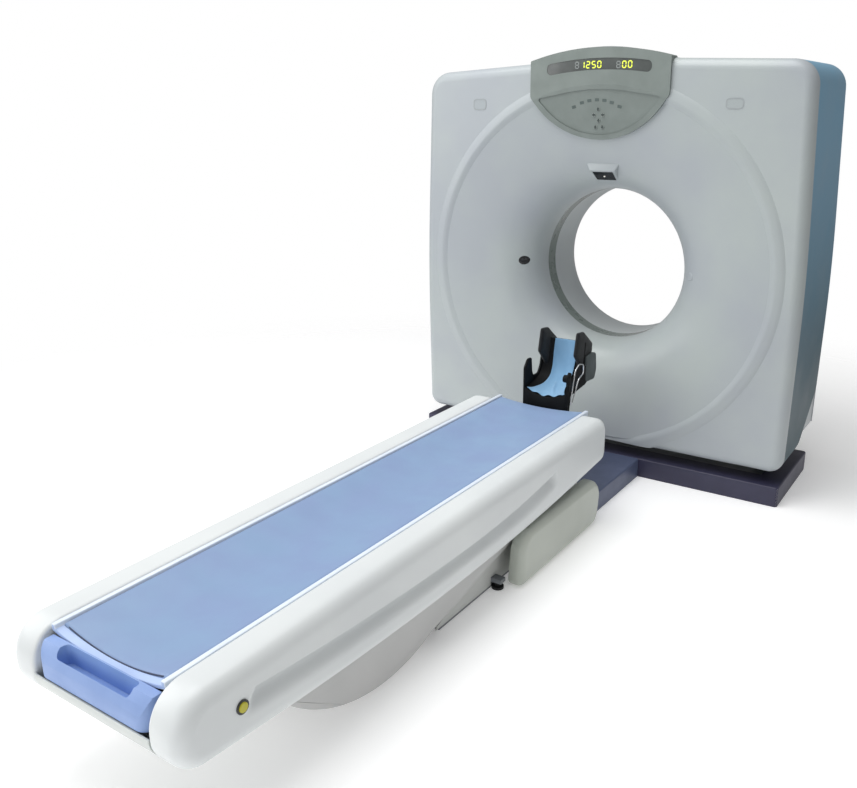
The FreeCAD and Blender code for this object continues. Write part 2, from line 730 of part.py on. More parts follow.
# ---- rotor
def make_rotor_drum():
    """Turned drum: hub, plate and outer rim, with lightening holes round the plate."""
    hub = ring_y(ROTOR_INNER_RADIUS, ROTOR_INNER_RADIUS + ROTOR_HUB_WALL, ROTOR_PLATE_Y, ROTOR_HUB_END_Y)
    rear = ROTOR_PLATE_Y + ROTOR_PLATE
    plate = ring_y(ROTOR_INNER_RADIUS, ROTOR_RADIUS, ROTOR_PLATE_Y, rear)
    rim = ring_y(ROTOR_RADIUS - ROTOR_RIM_WALL, ROTOR_RADIUS, rear - ROTOR_RIM_DEPTH, rear)
    drum = fused([hub, plate, rim])
    holes = []
    for index in range(LIGHTENING_COUNT):
        angle = math.radians(360.0 * (index + 0.5) / LIGHTENING_COUNT)
        x, z = LIGHTENING_PLACE * math.cos(angle), LIGHTENING_PLACE * math.sin(angle)
        holes.append(rod_y(x, z, LIGHTENING_RADIUS, ROTOR_PLATE_Y - 1, rear + 1))
    return drum.cut(holes)


def make_bearing_race():
    """Fixed outer race that the rotor hub runs in."""
    inner = ROTOR_INNER_RADIUS + ROTOR_HUB_WALL + RUNNING_GAP
    y0 = ROTOR_PLATE_Y + ROTOR_PLATE + 6
    return ring_y(inner, inner + RACE_WALL, y0, FRAME_Y)


def make_xray_tube():
    """X-ray tube housing with end flange and a cable socket boss."""
    body = rod_y(0, FOCUS_HEIGHT, TUBE_RADIUS, TUBE_FRONT_Y, ROTOR_PLATE_Y)
    waist = ring_about(0, FOCUS_HEIGHT, TUBE_RADIUS - 8, TUBE_RADIUS + 10,
                       TUBE_FRONT_Y + 50, TUBE_FRONT_Y + 50 + TUBE_FLANGE)
    cap = Part.makeCone(TUBE_RADIUS - 20, TUBE_RADIUS, 24, Vector(0, TUBE_FRONT_Y - 24, FOCUS_HEIGHT), Vector(0, 1, 0))
    return fused([body, cap]).cut(waist)


def ring_about(x, z, inner, outer, y0, y1):
    """Ring along Y about any axis."""
    return rod_y(x, z, outer, y0, y1).cut(rod_y(x, z, inner, y0 - 1, y1 + 1))


def make_collimator():
    """Wedge-shaped collimator housing between the tube and the bore."""
    top = FOCUS_HEIGHT - TUBE_RADIUS
    wide = COLLIMATOR_HALF_WIDTH
    corners = plain([(-wide, COLLIMATOR_BOTTOM), (wide, COLLIMATOR_BOTTOM), (wide * 0.6, top), (-wide * 0.6, top)])
    wedge = prism_y(corners, COLLIMATOR_FRONT_Y, ROTOR_PLATE_Y)
    return wedge.cut(rod_y(0, FOCUS_HEIGHT, TUBE_RADIUS, COLLIMATOR_FRONT_Y - 1, ROTOR_PLATE_Y + 1))


def focus_arc(inner, outer, half_angle, y0, y1):
    """Arc segment about the tube's focus, below the bore."""
    ring = ring_about(0, FOCUS_HEIGHT, inner, outer, y0, y1)
    reach = 2 * outer
    side = reach * math.tan(math.radians(half_angle))
    wedge = prism_y(plain([(0, FOCUS_HEIGHT), (-side, FOCUS_HEIGHT - reach), (side, FOCUS_HEIGHT - reach)]), y0, y1)
    return ring.common(wedge)


def make_detector():
    """Detector arc that faces the tube across the bore, with its readout box behind."""
    face = focus_arc(DETECTOR_INNER, DETECTOR_INNER + DETECTOR_DEPTH, DETECTOR_HALF_ANGLE,
                     -DETECTOR_HALF_WIDTH, DETECTOR_HALF_WIDTH)
    outer = DETECTOR_INNER + DATA_BOX_DEPTH
    half_angle = DETECTOR_HALF_ANGLE - 1
    readout = focus_arc(DETECTOR_INNER + 4, outer, half_angle, DETECTOR_HALF_WIDTH, ROTOR_PLATE_Y)
    slots = []
    for index in range(-3, 4):
        slot = box(-4, DETECTOR_HALF_WIDTH + 12, -outer - 10, 4, ROTOR_PLATE_Y - 12, -outer + 12)
        slot.rotate(Vector(0, 0, 0), Vector(0, 1, 0), index * half_angle / 4)
        slot.translate(Vector(0, 0, FOCUS_HEIGHT))
        slots.append(slot)
    return fused([face, readout]).cut(slots)


def make_voltage_tank():
    """High-voltage generator tank on the rotor's right."""
    corners = rectangle(SIDE_BOX_IN, -SIDE_BOX_HALF_HEIGHT, SIDE_BOX_OUT, SIDE_BOX_HALF_HEIGHT, 18.0)
    return prism_y(corners, SIDE_BOX_FRONT_Y, ROTOR_PLATE_Y)


def make_heat_exchanger():
    """Oil cooler on the rotor's left, with fins along its front."""
    body = prism_y(rectangle(-SIDE_BOX_OUT, -SIDE_BOX_HALF_HEIGHT, -SIDE_BOX_IN, SIDE_BOX_HALF_HEIGHT, 10.0),
                   SIDE_BOX_FRONT_Y, ROTOR_PLATE_Y)
    pitch = 2 * SIDE_BOX_HALF_HEIGHT / FIN_COUNT
    gaps = []
    for index in range(FIN_COUNT):
        z = -SIDE_BOX_HALF_HEIGHT + pitch * (index + 0.3)
        gaps.append(box(-SIDE_BOX_OUT - 1, SIDE_BOX_FRONT_Y - 1, z, -SIDE_BOX_IN + 1,
                        SIDE_BOX_FRONT_Y + FIN_DEPTH, z + pitch * 0.4))
    return body.cut(gaps)


def make_counterweight():
    """Curved balance weight at the bottom of the drum."""
    ring = ring_y(COUNTERWEIGHT_INNER, COUNTERWEIGHT_OUTER, ROTOR_PLATE_Y - COUNTERWEIGHT_DEPTH, ROTOR_PLATE_Y)
    side = BIG * math.tan(math.radians(COUNTERWEIGHT_HALF_ANGLE))
    wedge = prism_y(plain([(0, 0), (-side, -BIG), (side, -BIG)]), ROTOR_PLATE_Y - COUNTERWEIGHT_DEPTH, ROTOR_PLATE_Y)
    return ring.common(wedge)


def make_slip_ring():
    """Slip ring disc with concentric contact tracks."""
    y0 = ROTOR_PLATE_Y + ROTOR_PLATE
    y1 = y0 + SLIP_RING_DEPTH
    ring = ring_y(SLIP_RING_INNER, SLIP_RING_OUTER, y0, y1)
    pitch = (SLIP_RING_OUTER - SLIP_RING_INNER) / (SLIP_TRACKS + 1)
    grooves = []
    for index in range(SLIP_TRACKS):
        radius = SLIP_RING_INNER + pitch * (index + 1)
        grooves.append(ring_y(radius - SLIP_GROOVE, radius + SLIP_GROOVE, y1 - 5, y1 + 1))
    return ring.cut(grooves)


def brush_block():
    """Brush block of the slip ring, carried by the tilting frame."""
    y0 = ROTOR_PLATE_Y + ROTOR_PLATE + SLIP_RING_DEPTH + RUNNING_GAP
    return box(-60, y0, SLIP_RING_INNER + 6, 60, FRAME_Y + 1, SLIP_RING_OUTER - 6)


# ---- tilting frame and its drive
def stanchion_centre(distance):
    """Point on the stanchion's leaning centre line below the trunnion."""
    lean = math.radians(STANCHION_LEAN)
    return distance * math.sin(lean), -distance * math.cos(lean)


def involute(angle):
    """Involute function of an angle in radians."""
    return math.tan(angle) - angle


def tooth_flank(teeth, radius):
    """Half the angle of a tooth at a radius."""
    pitch_radius = GEAR_MODULE * teeth / 2
    base_radius = pitch_radius * math.cos(math.radians(PRESSURE_ANGLE))
    at_pitch = math.pi / (2 * teeth) - GEAR_BACKLASH / (4 * pitch_radius)
    here = math.acos(min(1.0, base_radius / max(radius, base_radius)))
    return at_pitch + involute(math.radians(PRESSURE_ANGLE)) - involute(here)


def tooth_points(teeth, first_angle, count):
    """Points round a run of gear teeth, as (radius, angle)."""
    pitch_radius = GEAR_MODULE * teeth / 2
    root = pitch_radius - 1.25 * GEAR_MODULE
    tip = pitch_radius + 0.95 * GEAR_MODULE
    radii = [root, pitch_radius - 0.5 * GEAR_MODULE, pitch_radius, pitch_radius + 0.5 * GEAR_MODULE, tip]
    points = []
    for index in range(count):
        centre = first_angle + index * 2 * math.pi / teeth
        points += [(radius, centre - tooth_flank(teeth, radius)) for radius in radii]
        points += [(radius, centre + tooth_flank(teeth, radius)) for radius in reversed(radii)]
    return points


def gear_plate(points, centre_y, centre_z, x0, x1):
    """Plate whose outline is a list of (radius, angle) points."""
    flat = [(centre_y + radius * math.cos(angle), centre_z + radius * math.sin(angle)) for radius, angle in points]
    return prism_x(plain(flat), x0, x1)


CHEEK_OUTER_X = FRAME_RADIUS
CENTRE_DISTANCE = GEAR_MODULE * (SECTOR_TEETH_FULL + PINION_TEETH) / 2
PINION_Y, PINION_Z = stanchion_centre(CENTRE_DISTANCE)
MESH_ANGLE = math.atan2(PINION_Z, PINION_Y)


def make_sector_gear():
    """Toothed sector on the left cheek that the tilt pinion drives."""
    half = (SECTOR_TEETH - 1) / 2
    first = MESH_ANGLE - half * 2 * math.pi / SECTOR_TEETH_FULL
    points = [(TRUNNION_RADIUS, MESH_ANGLE)] + tooth_points(SECTOR_TEETH_FULL, first, SECTOR_TEETH)
    x0, x1 = -CHEEK_OUTER_X - GEAR_THICKNESS - 1, -CHEEK_OUTER_X
    wedge = gear_plate(points, 0, 0, x0, x1)
    disc = rod_x(0, 0, CHEEK_HALF_HEIGHT - 8, x0, x1)
    return fused([disc, wedge]).cut(rod_x(0, 0, TRUNNION_RADIUS, x0 - 1, x1 + 1))


def make_tilt_pinion():
    """Pinion with its shaft through the left stanchion into the motor."""
    first = MESH_ANGLE + math.pi + math.pi / PINION_TEETH
    points = tooth_points(PINION_TEETH, first, PINION_TEETH)
    x1 = -CHEEK_OUTER_X - 1
    gear = gear_plate(points, PINION_Y, PINION_Z, x1 - GEAR_THICKNESS, x1)
    socket = -STANCHION_INNER_X - STANCHION_WIDTH - SHAFT_SOCKET
    return fused([gear, rod_x(PINION_Y, PINION_Z, PINION_SHAFT_RADIUS, socket, x1)])


def make_tilt_motor():
    """Tilt gear motor on the outer face of the left stanchion."""
    face = -STANCHION_INNER_X - STANCHION_WIDTH
    flange = rod_x(PINION_Y, PINION_Z, TILT_MOTOR_RADIUS + 7, face - 10, face)
    body = rod_x(PINION_Y, PINION_Z, TILT_MOTOR_RADIUS, face - TILT_MOTOR_LENGTH, face)
    socket = rod_x(PINION_Y, PINION_Z, PINION_SHAFT_RADIUS + BEARING_FIT, face - SHAFT_SOCKET - 2, face + 1)
    return fused([flange, body]).cut(socket)


def make_stanchion():
    """Right stanchion: bearing head, leaning column and bolted foot."""
    foot_top = FLOOR_PLATE_HEIGHT - ISO_HEIGHT + STANCHION_FOOT_HEIGHT
    foot_bottom = FLOOR_PLATE_HEIGHT - ISO_HEIGHT
    slope = math.tan(math.radians(STANCHION_LEAN))
    wide = STANCHION_HALF_DEPTH
    x0, x1 = STANCHION_INNER_X, STANCHION_INNER_X + STANCHION_WIDTH
    column = prism_x(plain([(-wide, 0), (wide, 0), (wide - foot_bottom * slope, foot_bottom),
                            (-wide - foot_bottom * slope, foot_bottom)]), x0, x1)
    centre = -foot_bottom * slope
    foot = box(x0, centre - STANCHION_FOOT_HALF_DEPTH, foot_bottom, x1,
               centre + STANCHION_FOOT_HALF_DEPTH, foot_top)
    head = rod_x(0, 0, STANCHION_HEAD_RADIUS, x0, x1)
    return fused([column, foot, head]).cut(rod_x(0, 0, BEARING_RADIUS, x0 - 1, x1 + 1))


def make_left_stanchion():
    """Left stanchion, bored for the pinion shaft."""
    bored = mirrored(make_stanchion())
    hole = rod_x(PINION_Y, PINION_Z, PINION_SHAFT_RADIUS + BEARING_FIT, -BIG / 2, BIG / 2)
    return bored.cut(hole)


def make_trunnion_bearings():
    """Bearing rings of the two trunnions."""
    right = tube_x(0, 0, TRUNNION_RADIUS + BEARING_FIT, BEARING_RADIUS,
                   STANCHION_INNER_X, STANCHION_INNER_X + STANCHION_WIDTH)
    return Part.makeCompound([right, mirrored(right)])


def make_tilt_frame():
    """Ring frame behind the rotor with side cheeks, trunnions and the motor lobe."""
    y1 = FRAME_Y + FRAME_PLATE
    disc = rod_y(0, 0, FRAME_RADIUS, FRAME_Y, y1)
    reach = SPIN_MOTOR_RADIUS + 25
    lobe = rod_y(SPIN_MOTOR_X, SPIN_MOTOR_Z, reach, FRAME_Y, y1)
    web_angle = math.degrees(math.atan2(SPIN_MOTOR_Z, SPIN_MOTOR_X))
    web = box(0, FRAME_Y, -reach, math.hypot(SPIN_MOTOR_X, SPIN_MOTOR_Z), y1, reach)
    web.rotate(Vector(0, 0, 0), Vector(0, 1, 0), -web_angle)
    solids = [disc, lobe, web, brush_block(), belt_idler()] + cover_stays()
    for side in (-1, 1):
        inner, outer = side * CHEEK_INNER_X, side * CHEEK_OUTER_X
        cheek = box(min(inner, outer), CHEEK_FRONT_Y, -CHEEK_HALF_HEIGHT, max(inner, outer), y1, CHEEK_HALF_HEIGHT)
        tab_in = side * (CHEEK_INNER_X - 90)
        tab = box(min(tab_in, outer), FRAME_Y, -CHEEK_HALF_HEIGHT, max(tab_in, outer), y1, CHEEK_HALF_HEIGHT)
        end = side * TRUNNION_END_X
        solids += [cheek, tab, rod_x(0, 0, TRUNNION_RADIUS, min(inner, end), max(inner, end))]
    frame = fused(solids)
    hole = rod_y(0, 0, BORE_RADIUS + COVER_WALL + 0.3, FRAME_Y - 1, y1 + 1)
    shaft = rod_y(SPIN_MOTOR_X, SPIN_MOTOR_Z, PULLEY_SHAFT_RADIUS + RUNNING_GAP, FRAME_Y - 1, y1 + 1)
    return frame.cut([hole, shaft])


def cover_stays():
    """Arms from the frame's plate out to the inside of the side panels."""
    inside = body_loft(COVER_WALL, COVER_JOIN_Y - 10, BACK_Y - COVER_WALL)
    stays = []
    for z in STAY_HEIGHTS:
        start = math.sqrt(FRAME_RADIUS ** 2 - z ** 2) - 40
        arm = box(start, FRAME_Y, z - STAY_HALF_HEIGHT, BIG / 2, FRAME_Y + FRAME_PLATE, z + STAY_HALF_HEIGHT)
        arm = arm.common(inside)
        stays += [arm, mirrored(arm)]
    return stays


def belt_idler():
    """Idler roller on its stud, resting on the belt's lower run by the pulley."""
    lean = math.acos((ROTOR_RADIUS - PULLEY_RADIUS) / math.hypot(SPIN_MOTOR_X, SPIN_MOTOR_Z))
    angle = math.atan2(SPIN_MOTOR_Z, SPIN_MOTOR_X) + lean
    out_x, out_z = math.cos(angle), math.sin(angle)
    x = SPIN_MOTOR_X + PULLEY_RADIUS * out_x
    z = SPIN_MOTOR_Z + PULLEY_RADIUS * out_z
    x += (ROTOR_RADIUS * out_x - x) * IDLER_SHARE
    z += (ROTOR_RADIUS * out_z - z) * IDLER_SHARE
    reach = RUNNING_GAP + BELT_THICKNESS + IDLER_RADIUS
    x, z = x + reach * out_x, z + reach * out_z
    roller = rod_y(x, z, IDLER_RADIUS, ROTOR_PLATE_Y, ROTOR_PLATE_Y + ROTOR_PLATE)
    return roller.fuse(rod_y(x, z, IDLER_STUD_RADIUS, ROTOR_PLATE_Y, FRAME_Y + 1))


def make_spin_motor():
    """Rotation motor behind the frame's lobe."""
    y0 = FRAME_Y + FRAME_PLATE
    body = rod_y(SPIN_MOTOR_X, SPIN_MOTOR_Z, SPIN_MOTOR_RADIUS, y0, y0 + SPIN_MOTOR_LENGTH)
    socket = rod_y(SPIN_MOTOR_X, SPIN_MOTOR_Z, PULLEY_SHAFT_RADIUS + BEARING_FIT, y0 - 1, y0 + SHAFT_SOCKET + 2)
    return body.cut(socket)


def make_drive_pulley():
    """Drive pulley of the rotor belt with its shaft into the motor."""
    rear = ROTOR_PLATE_Y + ROTOR_PLATE
    pulley = rod_y(SPIN_MOTOR_X, SPIN_MOTOR_Z, PULLEY_RADIUS, ROTOR_PLATE_Y, rear)
    lip = rod_y(SPIN_MOTOR_X, SPIN_MOTOR_Z, PULLEY_RADIUS + 5, rear, rear + 4)
    shaft = rod_y(SPIN_MOTOR_X, SPIN_MOTOR_Z, PULLEY_SHAFT_RADIUS, rear, FRAME_Y + FRAME_PLATE + SHAFT_SOCKET)
    return fused([pulley, lip, shaft])


def belt_loop(grow):
    """Closed wire round the drum and the pulley, grown by grow."""
    big, small = ROTOR_RADIUS + grow, PULLEY_RADIUS + grow
    span = math.hypot(SPIN_MOTOR_X, SPIN_MOTOR_Z)
    lean = math.acos((big - small) / span)
    aim = math.atan2(SPIN_MOTOR_Z, SPIN_MOTOR_X)
    place = at_y(ROTOR_PLATE_Y + BELT_MARGIN)

    def rim(cx, cz, radius, angle):
        return place(cx + radius * math.cos(angle), cz + radius * math.sin(angle))
    a = [rim(0, 0, big, aim + lean), rim(0, 0, big, aim + math.pi), rim(0, 0, big, aim - lean)]
    b = [rim(SPIN_MOTOR_X, SPIN_MOTOR_Z, small, aim - lean), rim(SPIN_MOTOR_X, SPIN_MOTOR_Z, small, aim),
         rim(SPIN_MOTOR_X, SPIN_MOTOR_Z, small, aim + lean)]
    return Part.Wire([Part.Arc(*a).toShape(), Part.makeLine(a[2], b[0]), Part.Arc(*b).toShape(),
                      Part.makeLine(b[2], a[0])])


def make_belt():
    """Flat belt round the drum and the drive pulley."""
    depth = Vector(0, ROTOR_PLATE - 2 * BELT_MARGIN, 0)
    outer = Part.Face(belt_loop(RUNNING_GAP + BELT_THICKNESS)).extrude(depth)
    return outer.cut(Part.Face(belt_loop(RUNNING_GAP)).extrude(depth))


# ---- floor base
def make_base_frame():
    """Steel floor plate of the gantry with its anchor holes."""
    half = BASE_HALF_WIDTH - BASE_SIDE_BEAM
    plate = box(-half, BASE_FRONT_Y + BASE_FRONT_BEAM, 0, half, BASE_REAR_Y - BASE_REAR_BEAM, FLOOR_PLATE_HEIGHT)
    holes = [rod_z(side * ANCHOR_X, y, ANCHOR_RADIUS, -1, FLOOR_PLATE_HEIGHT + 1)
             for side in (-1, 1) for y in (ANCHOR_FRONT_Y, ANCHOR_REAR_Y)]
    return plate.cut(holes)


def make_base_cover():
    """Plinth cover round the floor plate, with an open well in the middle."""
    outer = prism_z(rectangle(-BASE_HALF_WIDTH, BASE_FRONT_Y, BASE_HALF_WIDTH, BASE_REAR_Y, BASE_CORNER_RADIUS),
                    0, BASE_HEIGHT)
    top = [edge for edge in outer.Edges if abs(edge.BoundBox.ZMin - BASE_HEIGHT) < 1e-6]
    outer = outer.makeFillet(BASE_CORNER_RADIUS / 2, top)
    half = BASE_HALF_WIDTH - BASE_SIDE_BEAM
    front, rear = BASE_FRONT_Y + BASE_FRONT_BEAM, BASE_REAR_Y - BASE_REAR_BEAM
    well = box(-half, front, -1, half, rear, BASE_HEIGHT + 1)
    wall = COVER_WALL
    hollow = box(-BASE_HALF_WIDTH + wall, BASE_FRONT_Y + wall, -1,
                 BASE_HALF_WIDTH - wall, BASE_REAR_Y - wall, BASE_HEIGHT - wall)
    core = box(-half - wall, front - wall, -2, half + wall, rear + wall, BASE_HEIGHT)
    return outer.cut(hollow.cut(core)).cut(well)


def make_bridge_cover():
    """Low cover over the cable channel from the gantry to the table."""
    notch = BRIDGE_HALF_WIDTH - SIDE_COVER_INNER_X + 3
    half, end = BRIDGE_HALF_WIDTH, BRIDGE_END_Y + SIDE_COVER_BULGE + 3
    outline = [(-half + notch, BRIDGE_END_Y), (half - notch, BRIDGE_END_Y), (half - notch, end), (half, end),
               (half, BASE_FRONT_Y), (-half, BASE_FRONT_Y), (-half, end), (-half + notch, end)]
    outer = prism_z(plain(outline), 0, BASE_HEIGHT)
    long_edges = [edge for edge in outer.Edges
                  if edge.BoundBox.ZMin > BASE_HEIGHT - 1e-3 and edge.BoundBox.YLength > 100]
    outer = outer.makeFillet(BASE_CORNER_RADIUS / 2, long_edges)
    wall = COVER_WALL
    inner = box(-half + notch + wall, BRIDGE_END_Y + wall, -1, half - notch - wall, BASE_FRONT_Y - wall,
                BASE_HEIGHT - wall)
    return outer.cut(inner)


# ---- table base
PIVOT = (LIFT_PIVOT_Y, LIFT_PIVOT_Z)
REST = math.radians(LIFT_REST_ANGLE)
CROWN = (LIFT_PIVOT_Y - LIFT_LENGTH * math.cos(REST), LIFT_PIVOT_Z + LIFT_LENGTH * math.sin(REST))
TOWER_INNER_X = ARM_INNER_X + ARM_WIDTH + TOWER_GAP
OUTRIGGERS = (SIDE_COVER_FOOT_Y - 22.0, -1300.0, -950.0)


def panel_profile(drop):
    """Side outline of the inner base panel, lowered by drop."""
    return [(PANEL_NOSE_Y, TABLE_BASE_PLATE, 0), (PANEL_NOSE_Y + 6, TABLE_BASE_PLATE + 12 - drop, 0),
            (PANEL_TOP_Y, PANEL_TOP - drop, 120.0), (BRIDGE_END_Y, PANEL_TOP - drop, 0),
            (BRIDGE_END_Y, TABLE_BASE_PLATE, 0)]


def make_table_base():
    """Steel base of the table: floor plate, pivot towers and outriggers."""
    half = TABLE_BASE_HALF_WIDTH
    plate = box(-half, TABLE_BASE_FOOT_Y, 0, half, BRIDGE_END_Y, TABLE_BASE_PLATE)
    solids = [plate]
    for side in (-1, 1):
        for inner, pivot, eye in ((TOWER_INNER_X, PIVOT, ARM_EYE_RADIUS),
                                  (LINK_HALF_WIDTH + TOWER_GAP, (PIVOT[0], PIVOT[1] - LIFT_LINK_DROP), LINK_EYE_RADIUS)):
            x0, x1 = sorted((side * inner, side * (inner + TOWER_WALL)))
            web = prism_x(plain([(pivot[0] - 2.2 * eye, TABLE_BASE_PLATE - 1), (pivot[0] + 2.2 * eye, TABLE_BASE_PLATE - 1),
                                 (pivot[0] + eye, pivot[1]), (pivot[0] - eye, pivot[1])]), x0, x1)
            solids += [web, rod_x(pivot[0], pivot[1], eye, x0, x1)]
        for y in OUTRIGGERS:
            reach = SIDE_COVER_INNER_X if y > SIDE_COVER_FOOT_Y else SIDE_COVER_INNER_X - 4
            x0, x1 = sorted((side * (half - 40), side * reach))
            solids.append(box(x0, y - 16, FOOT_HEIGHT, x1, y + 16, FOOT_HEIGHT + 16))
            x0, x1 = sorted((side * (half - 40), side * (half - 8)))
            solids.append(box(x0, y - 16, 0, x1, y + 16, FOOT_HEIGHT + 16))
        x0, x1 = sorted((side * (RAM_X - 30), side * (RAM_X - 18)))
        solids.append(ram_bracket(x0, x1))
        x0, x1 = sorted((side * (RAM_X + 18), side * (RAM_X + 30)))
        solids.append(ram_bracket(x0, x1))
    holes = [rod_z(side * TABLE_ANCHOR_X, y, ANCHOR_RADIUS, -1, TABLE_BASE_PLATE + 1)
             for side in (-1, 1) for y in (TABLE_ANCHOR_FOOT_Y, TABLE_ANCHOR_HEAD_Y)]
    return fused(solids + base_pins()).cut(holes)


def ram_bracket(x0, x1):
    """One ear of the bracket under the lift ram."""
    eye = 18.0
    web = prism_x(plain([(RAM_PIVOT_Y - 26, TABLE_BASE_PLATE - 1), (RAM_PIVOT_Y + 26, TABLE_BASE_PLATE - 1),
                         (RAM_PIVOT_Y + eye, RAM_PIVOT_Z), (RAM_PIVOT_Y - eye, RAM_PIVOT_Z)]), x0, x1)
    return web.fuse(rod_x(RAM_PIVOT_Y, RAM_PIVOT_Z, eye, x0, x1))


def base_pins():
    """Pivot pins of the lift arm, the lower link and the two rams, welded in."""
    outer = TOWER_INNER_X + TOWER_WALL + 3
    pins = []
    for side in (-1, 1):
        x0, x1 = sorted((side * (ARM_INNER_X - 3), side * outer))
        pins.append(rod_x(PIVOT[0], PIVOT[1], LIFT_PIN_RADIUS, x0, x1))
        x0, x1 = sorted((side * (RAM_X - 32), side * (RAM_X + 32)))
        pins.append(rod_x(RAM_PIVOT_Y, RAM_PIVOT_Z, RAM_PIN_RADIUS, x0, x1))
    reach = LINK_HALF_WIDTH + TOWER_GAP + TOWER_WALL + 3
    pins.append(rod_x(PIVOT[0], PIVOT[1] - LIFT_LINK_DROP, LINK_PIN_RADIUS, -reach, reach))
    return pins


def make_inner_panels():
    """Wedge-shaped side panels of the table base, notched over the outriggers."""
    panel = prism_x(panel_profile(0.0), PANEL_HALF_WIDTH - PANEL_WALL, PANEL_HALF_WIDTH)
    flange = prism_x(panel_profile(0.0), PANEL_HALF_WIDTH - 24, PANEL_HALF_WIDTH)
    flange = flange.cut(prism_x(panel_profile(PANEL_WALL), PANEL_HALF_WIDTH - 30, PANEL_HALF_WIDTH + 1))
    flange = flange.common(box(-BIG, PANEL_NOSE_Y + 120, TABLE_BASE_PLATE, BIG, BRIDGE_END_Y - 1, BIG))
    panel = fused([panel, flange])
    notches = [box(-BIG, y - 17, 0, BIG, y + 17, FOOT_HEIGHT + 17) for y in OUTRIGGERS]
    panel = panel.cut(notches)
    return Part.makeCompound([panel, mirrored(panel)])


def make_base_side_cover():
    """Right moulded cover beside the table base: rounded block, hollow inside."""
    radius = SIDE_COVER_RADIUS
    outline = [(SIDE_COVER_FOOT_Y, 2.0, 22.0), (BRIDGE_END_Y, 2.0, 60.0),
               (BRIDGE_END_Y + SIDE_COVER_BULGE, SIDE_COVER_TOP, radius),
               (SIDE_COVER_FOOT_Y, SIDE_COVER_TOP, radius)]
    block = prism_x(outline, SIDE_COVER_INNER_X, SIDE_COVER_OUTER_X)
    rim = [edge for edge in block.Edges if edge.BoundBox.XMin > SIDE_COVER_OUTER_X - 1e-3]
    block = block.makeFillet(18.0, rim)
    wall = COVER_WALL
    inner = [(SIDE_COVER_FOOT_Y + wall, 2.0 + wall, 18.0), (BRIDGE_END_Y - wall, 2.0 + wall, 56.0),
             (BRIDGE_END_Y + SIDE_COVER_BULGE - wall, SIDE_COVER_TOP - wall, radius - wall),
             (SIDE_COVER_FOOT_Y + wall, SIDE_COVER_TOP - wall, radius - wall)]
    cavity = prism_x(inner, SIDE_COVER_INNER_X + wall, SIDE_COVER_OUTER_X - wall)
    cavity = cavity.common(box(-BIG, SIDE_COVER_FOOT_Y + 30, 20, BIG, BRIDGE_END_Y - 30, SIDE_COVER_TOP - 30))
    mouth = box(SIDE_COVER_INNER_X - 1, SIDE_COVER_FOOT_Y + 60, 60, SIDE_COVER_INNER_X + wall + 1,
                BRIDGE_END_Y - 60, SIDE_COVER_TOP - 50)
    return block.cut([cavity, mouth])


def make_feet():
    """Levelling feet under the table base outriggers."""
    feet = []
    for side in (-1, 1):
        for y in (OUTRIGGERS[0], OUTRIGGERS[2]):
            feet.append(rod_z(side * (SIDE_COVER_INNER_X - 26), y, FOOT_RADIUS, 0, 9))
            feet[-1] = feet[-1].fuse(rod_z(side * (SIDE_COVER_INNER_X - 26), y, FOOT_RADIUS * 0.4, 0, FOOT_HEIGHT))
    return Part.makeCompound(feet)


# ---- lift linkage
def beam_profile(start, end, half, eye):
    """Straight link between two eyes as rounded corners in (y, z)."""
    run = Vector(end[0] - start[0], end[1] - start[1], 0)
    run.normalize()
    side = Vector(-run.y, run.x, 0)
    points = []
    for base, sign in ((start, 1), (end, 1), (end, -1), (start, -1)):
        points.append((base[0] + side.x * half * sign, base[1] + side.y * half * sign))
    return plain(points)


def link_bar(start, end, half, eye, x0, x1):
    """Link bar with round eyes at both ends."""
    return fused([prism_x(beam_profile(start, end, half, eye), x0, x1),
                  rod_x(start[0], start[1], eye, x0, x1), rod_x(end[0], end[1], eye, x0, x1)])


def ram_top():
    """Rest place of the pin that the rams push on."""
    along = (-math.cos(REST), math.sin(REST))
    normal = (math.sin(REST), math.cos(REST))
    return (PIVOT[0] + RAM_REACH * along[0] + RAM_OFFSET * normal[0],
            PIVOT[1] + RAM_REACH * along[1] + RAM_OFFSET * normal[1])


def make_lift_arm():
    """Two lift arm plates with their cross tubes and the ram's thrust tube."""
    outer = ARM_INNER_X + ARM_WIDTH
    solids = []
    for side in (-1, 1):
        x0, x1 = sorted((side * ARM_INNER_X, side * outer))
        solids.append(link_bar(PIVOT, CROWN, ARM_HALF_HEIGHT, ARM_EYE_RADIUS, x0, x1))
    for share in (0.16, 0.9):
        y = PIVOT[0] + (CROWN[0] - PIVOT[0]) * share
        z = PIVOT[1] + (CROWN[1] - PIVOT[1]) * share + 8
        solids.append(rod_x(y, z, 24.0, -outer + 2, outer - 2))
    top = ram_top()
    lug = 26.0
    for side in (-1, 1):
        for inner in (RAM_X - 30, RAM_X + 18):
            x0, x1 = sorted((side * inner, side * (inner + 12)))
            solids.append(prism_x(plain([(top[0] - lug, top[1]), (top[0] + lug, top[1]),
                                         (top[0] + lug, top[1] + 44), (top[0] - lug, top[1] + 44)]), x0, x1))
            solids.append(rod_x(top[0], top[1], lug, x0, x1))
    solids.append(prism_x(plain([(top[0] - 26, top[1] + 32), (top[0] + 26, top[1] + 32),
                                 (top[0] + 26, top[1] + 50), (top[0] - 26, top[1] + 50)]), -outer + 2, outer - 2))
    arm = fused(solids)
    holes = [rod_x(PIVOT[0], PIVOT[1], LIFT_PIN_RADIUS + PIN_FIT, -BIG, BIG),
             rod_x(CROWN[0], CROWN[1], LIFT_PIN_RADIUS + PIN_FIT, -BIG, BIG)]
    for side in (-1, 1):
        x0, x1 = sorted((side * (RAM_X - 31), side * (RAM_X + 31)))
        holes.append(rod_x(top[0], top[1], RAM_PIN_RADIUS + RAM_OPEN_GAP, x0, x1))
    return arm.cut(holes)


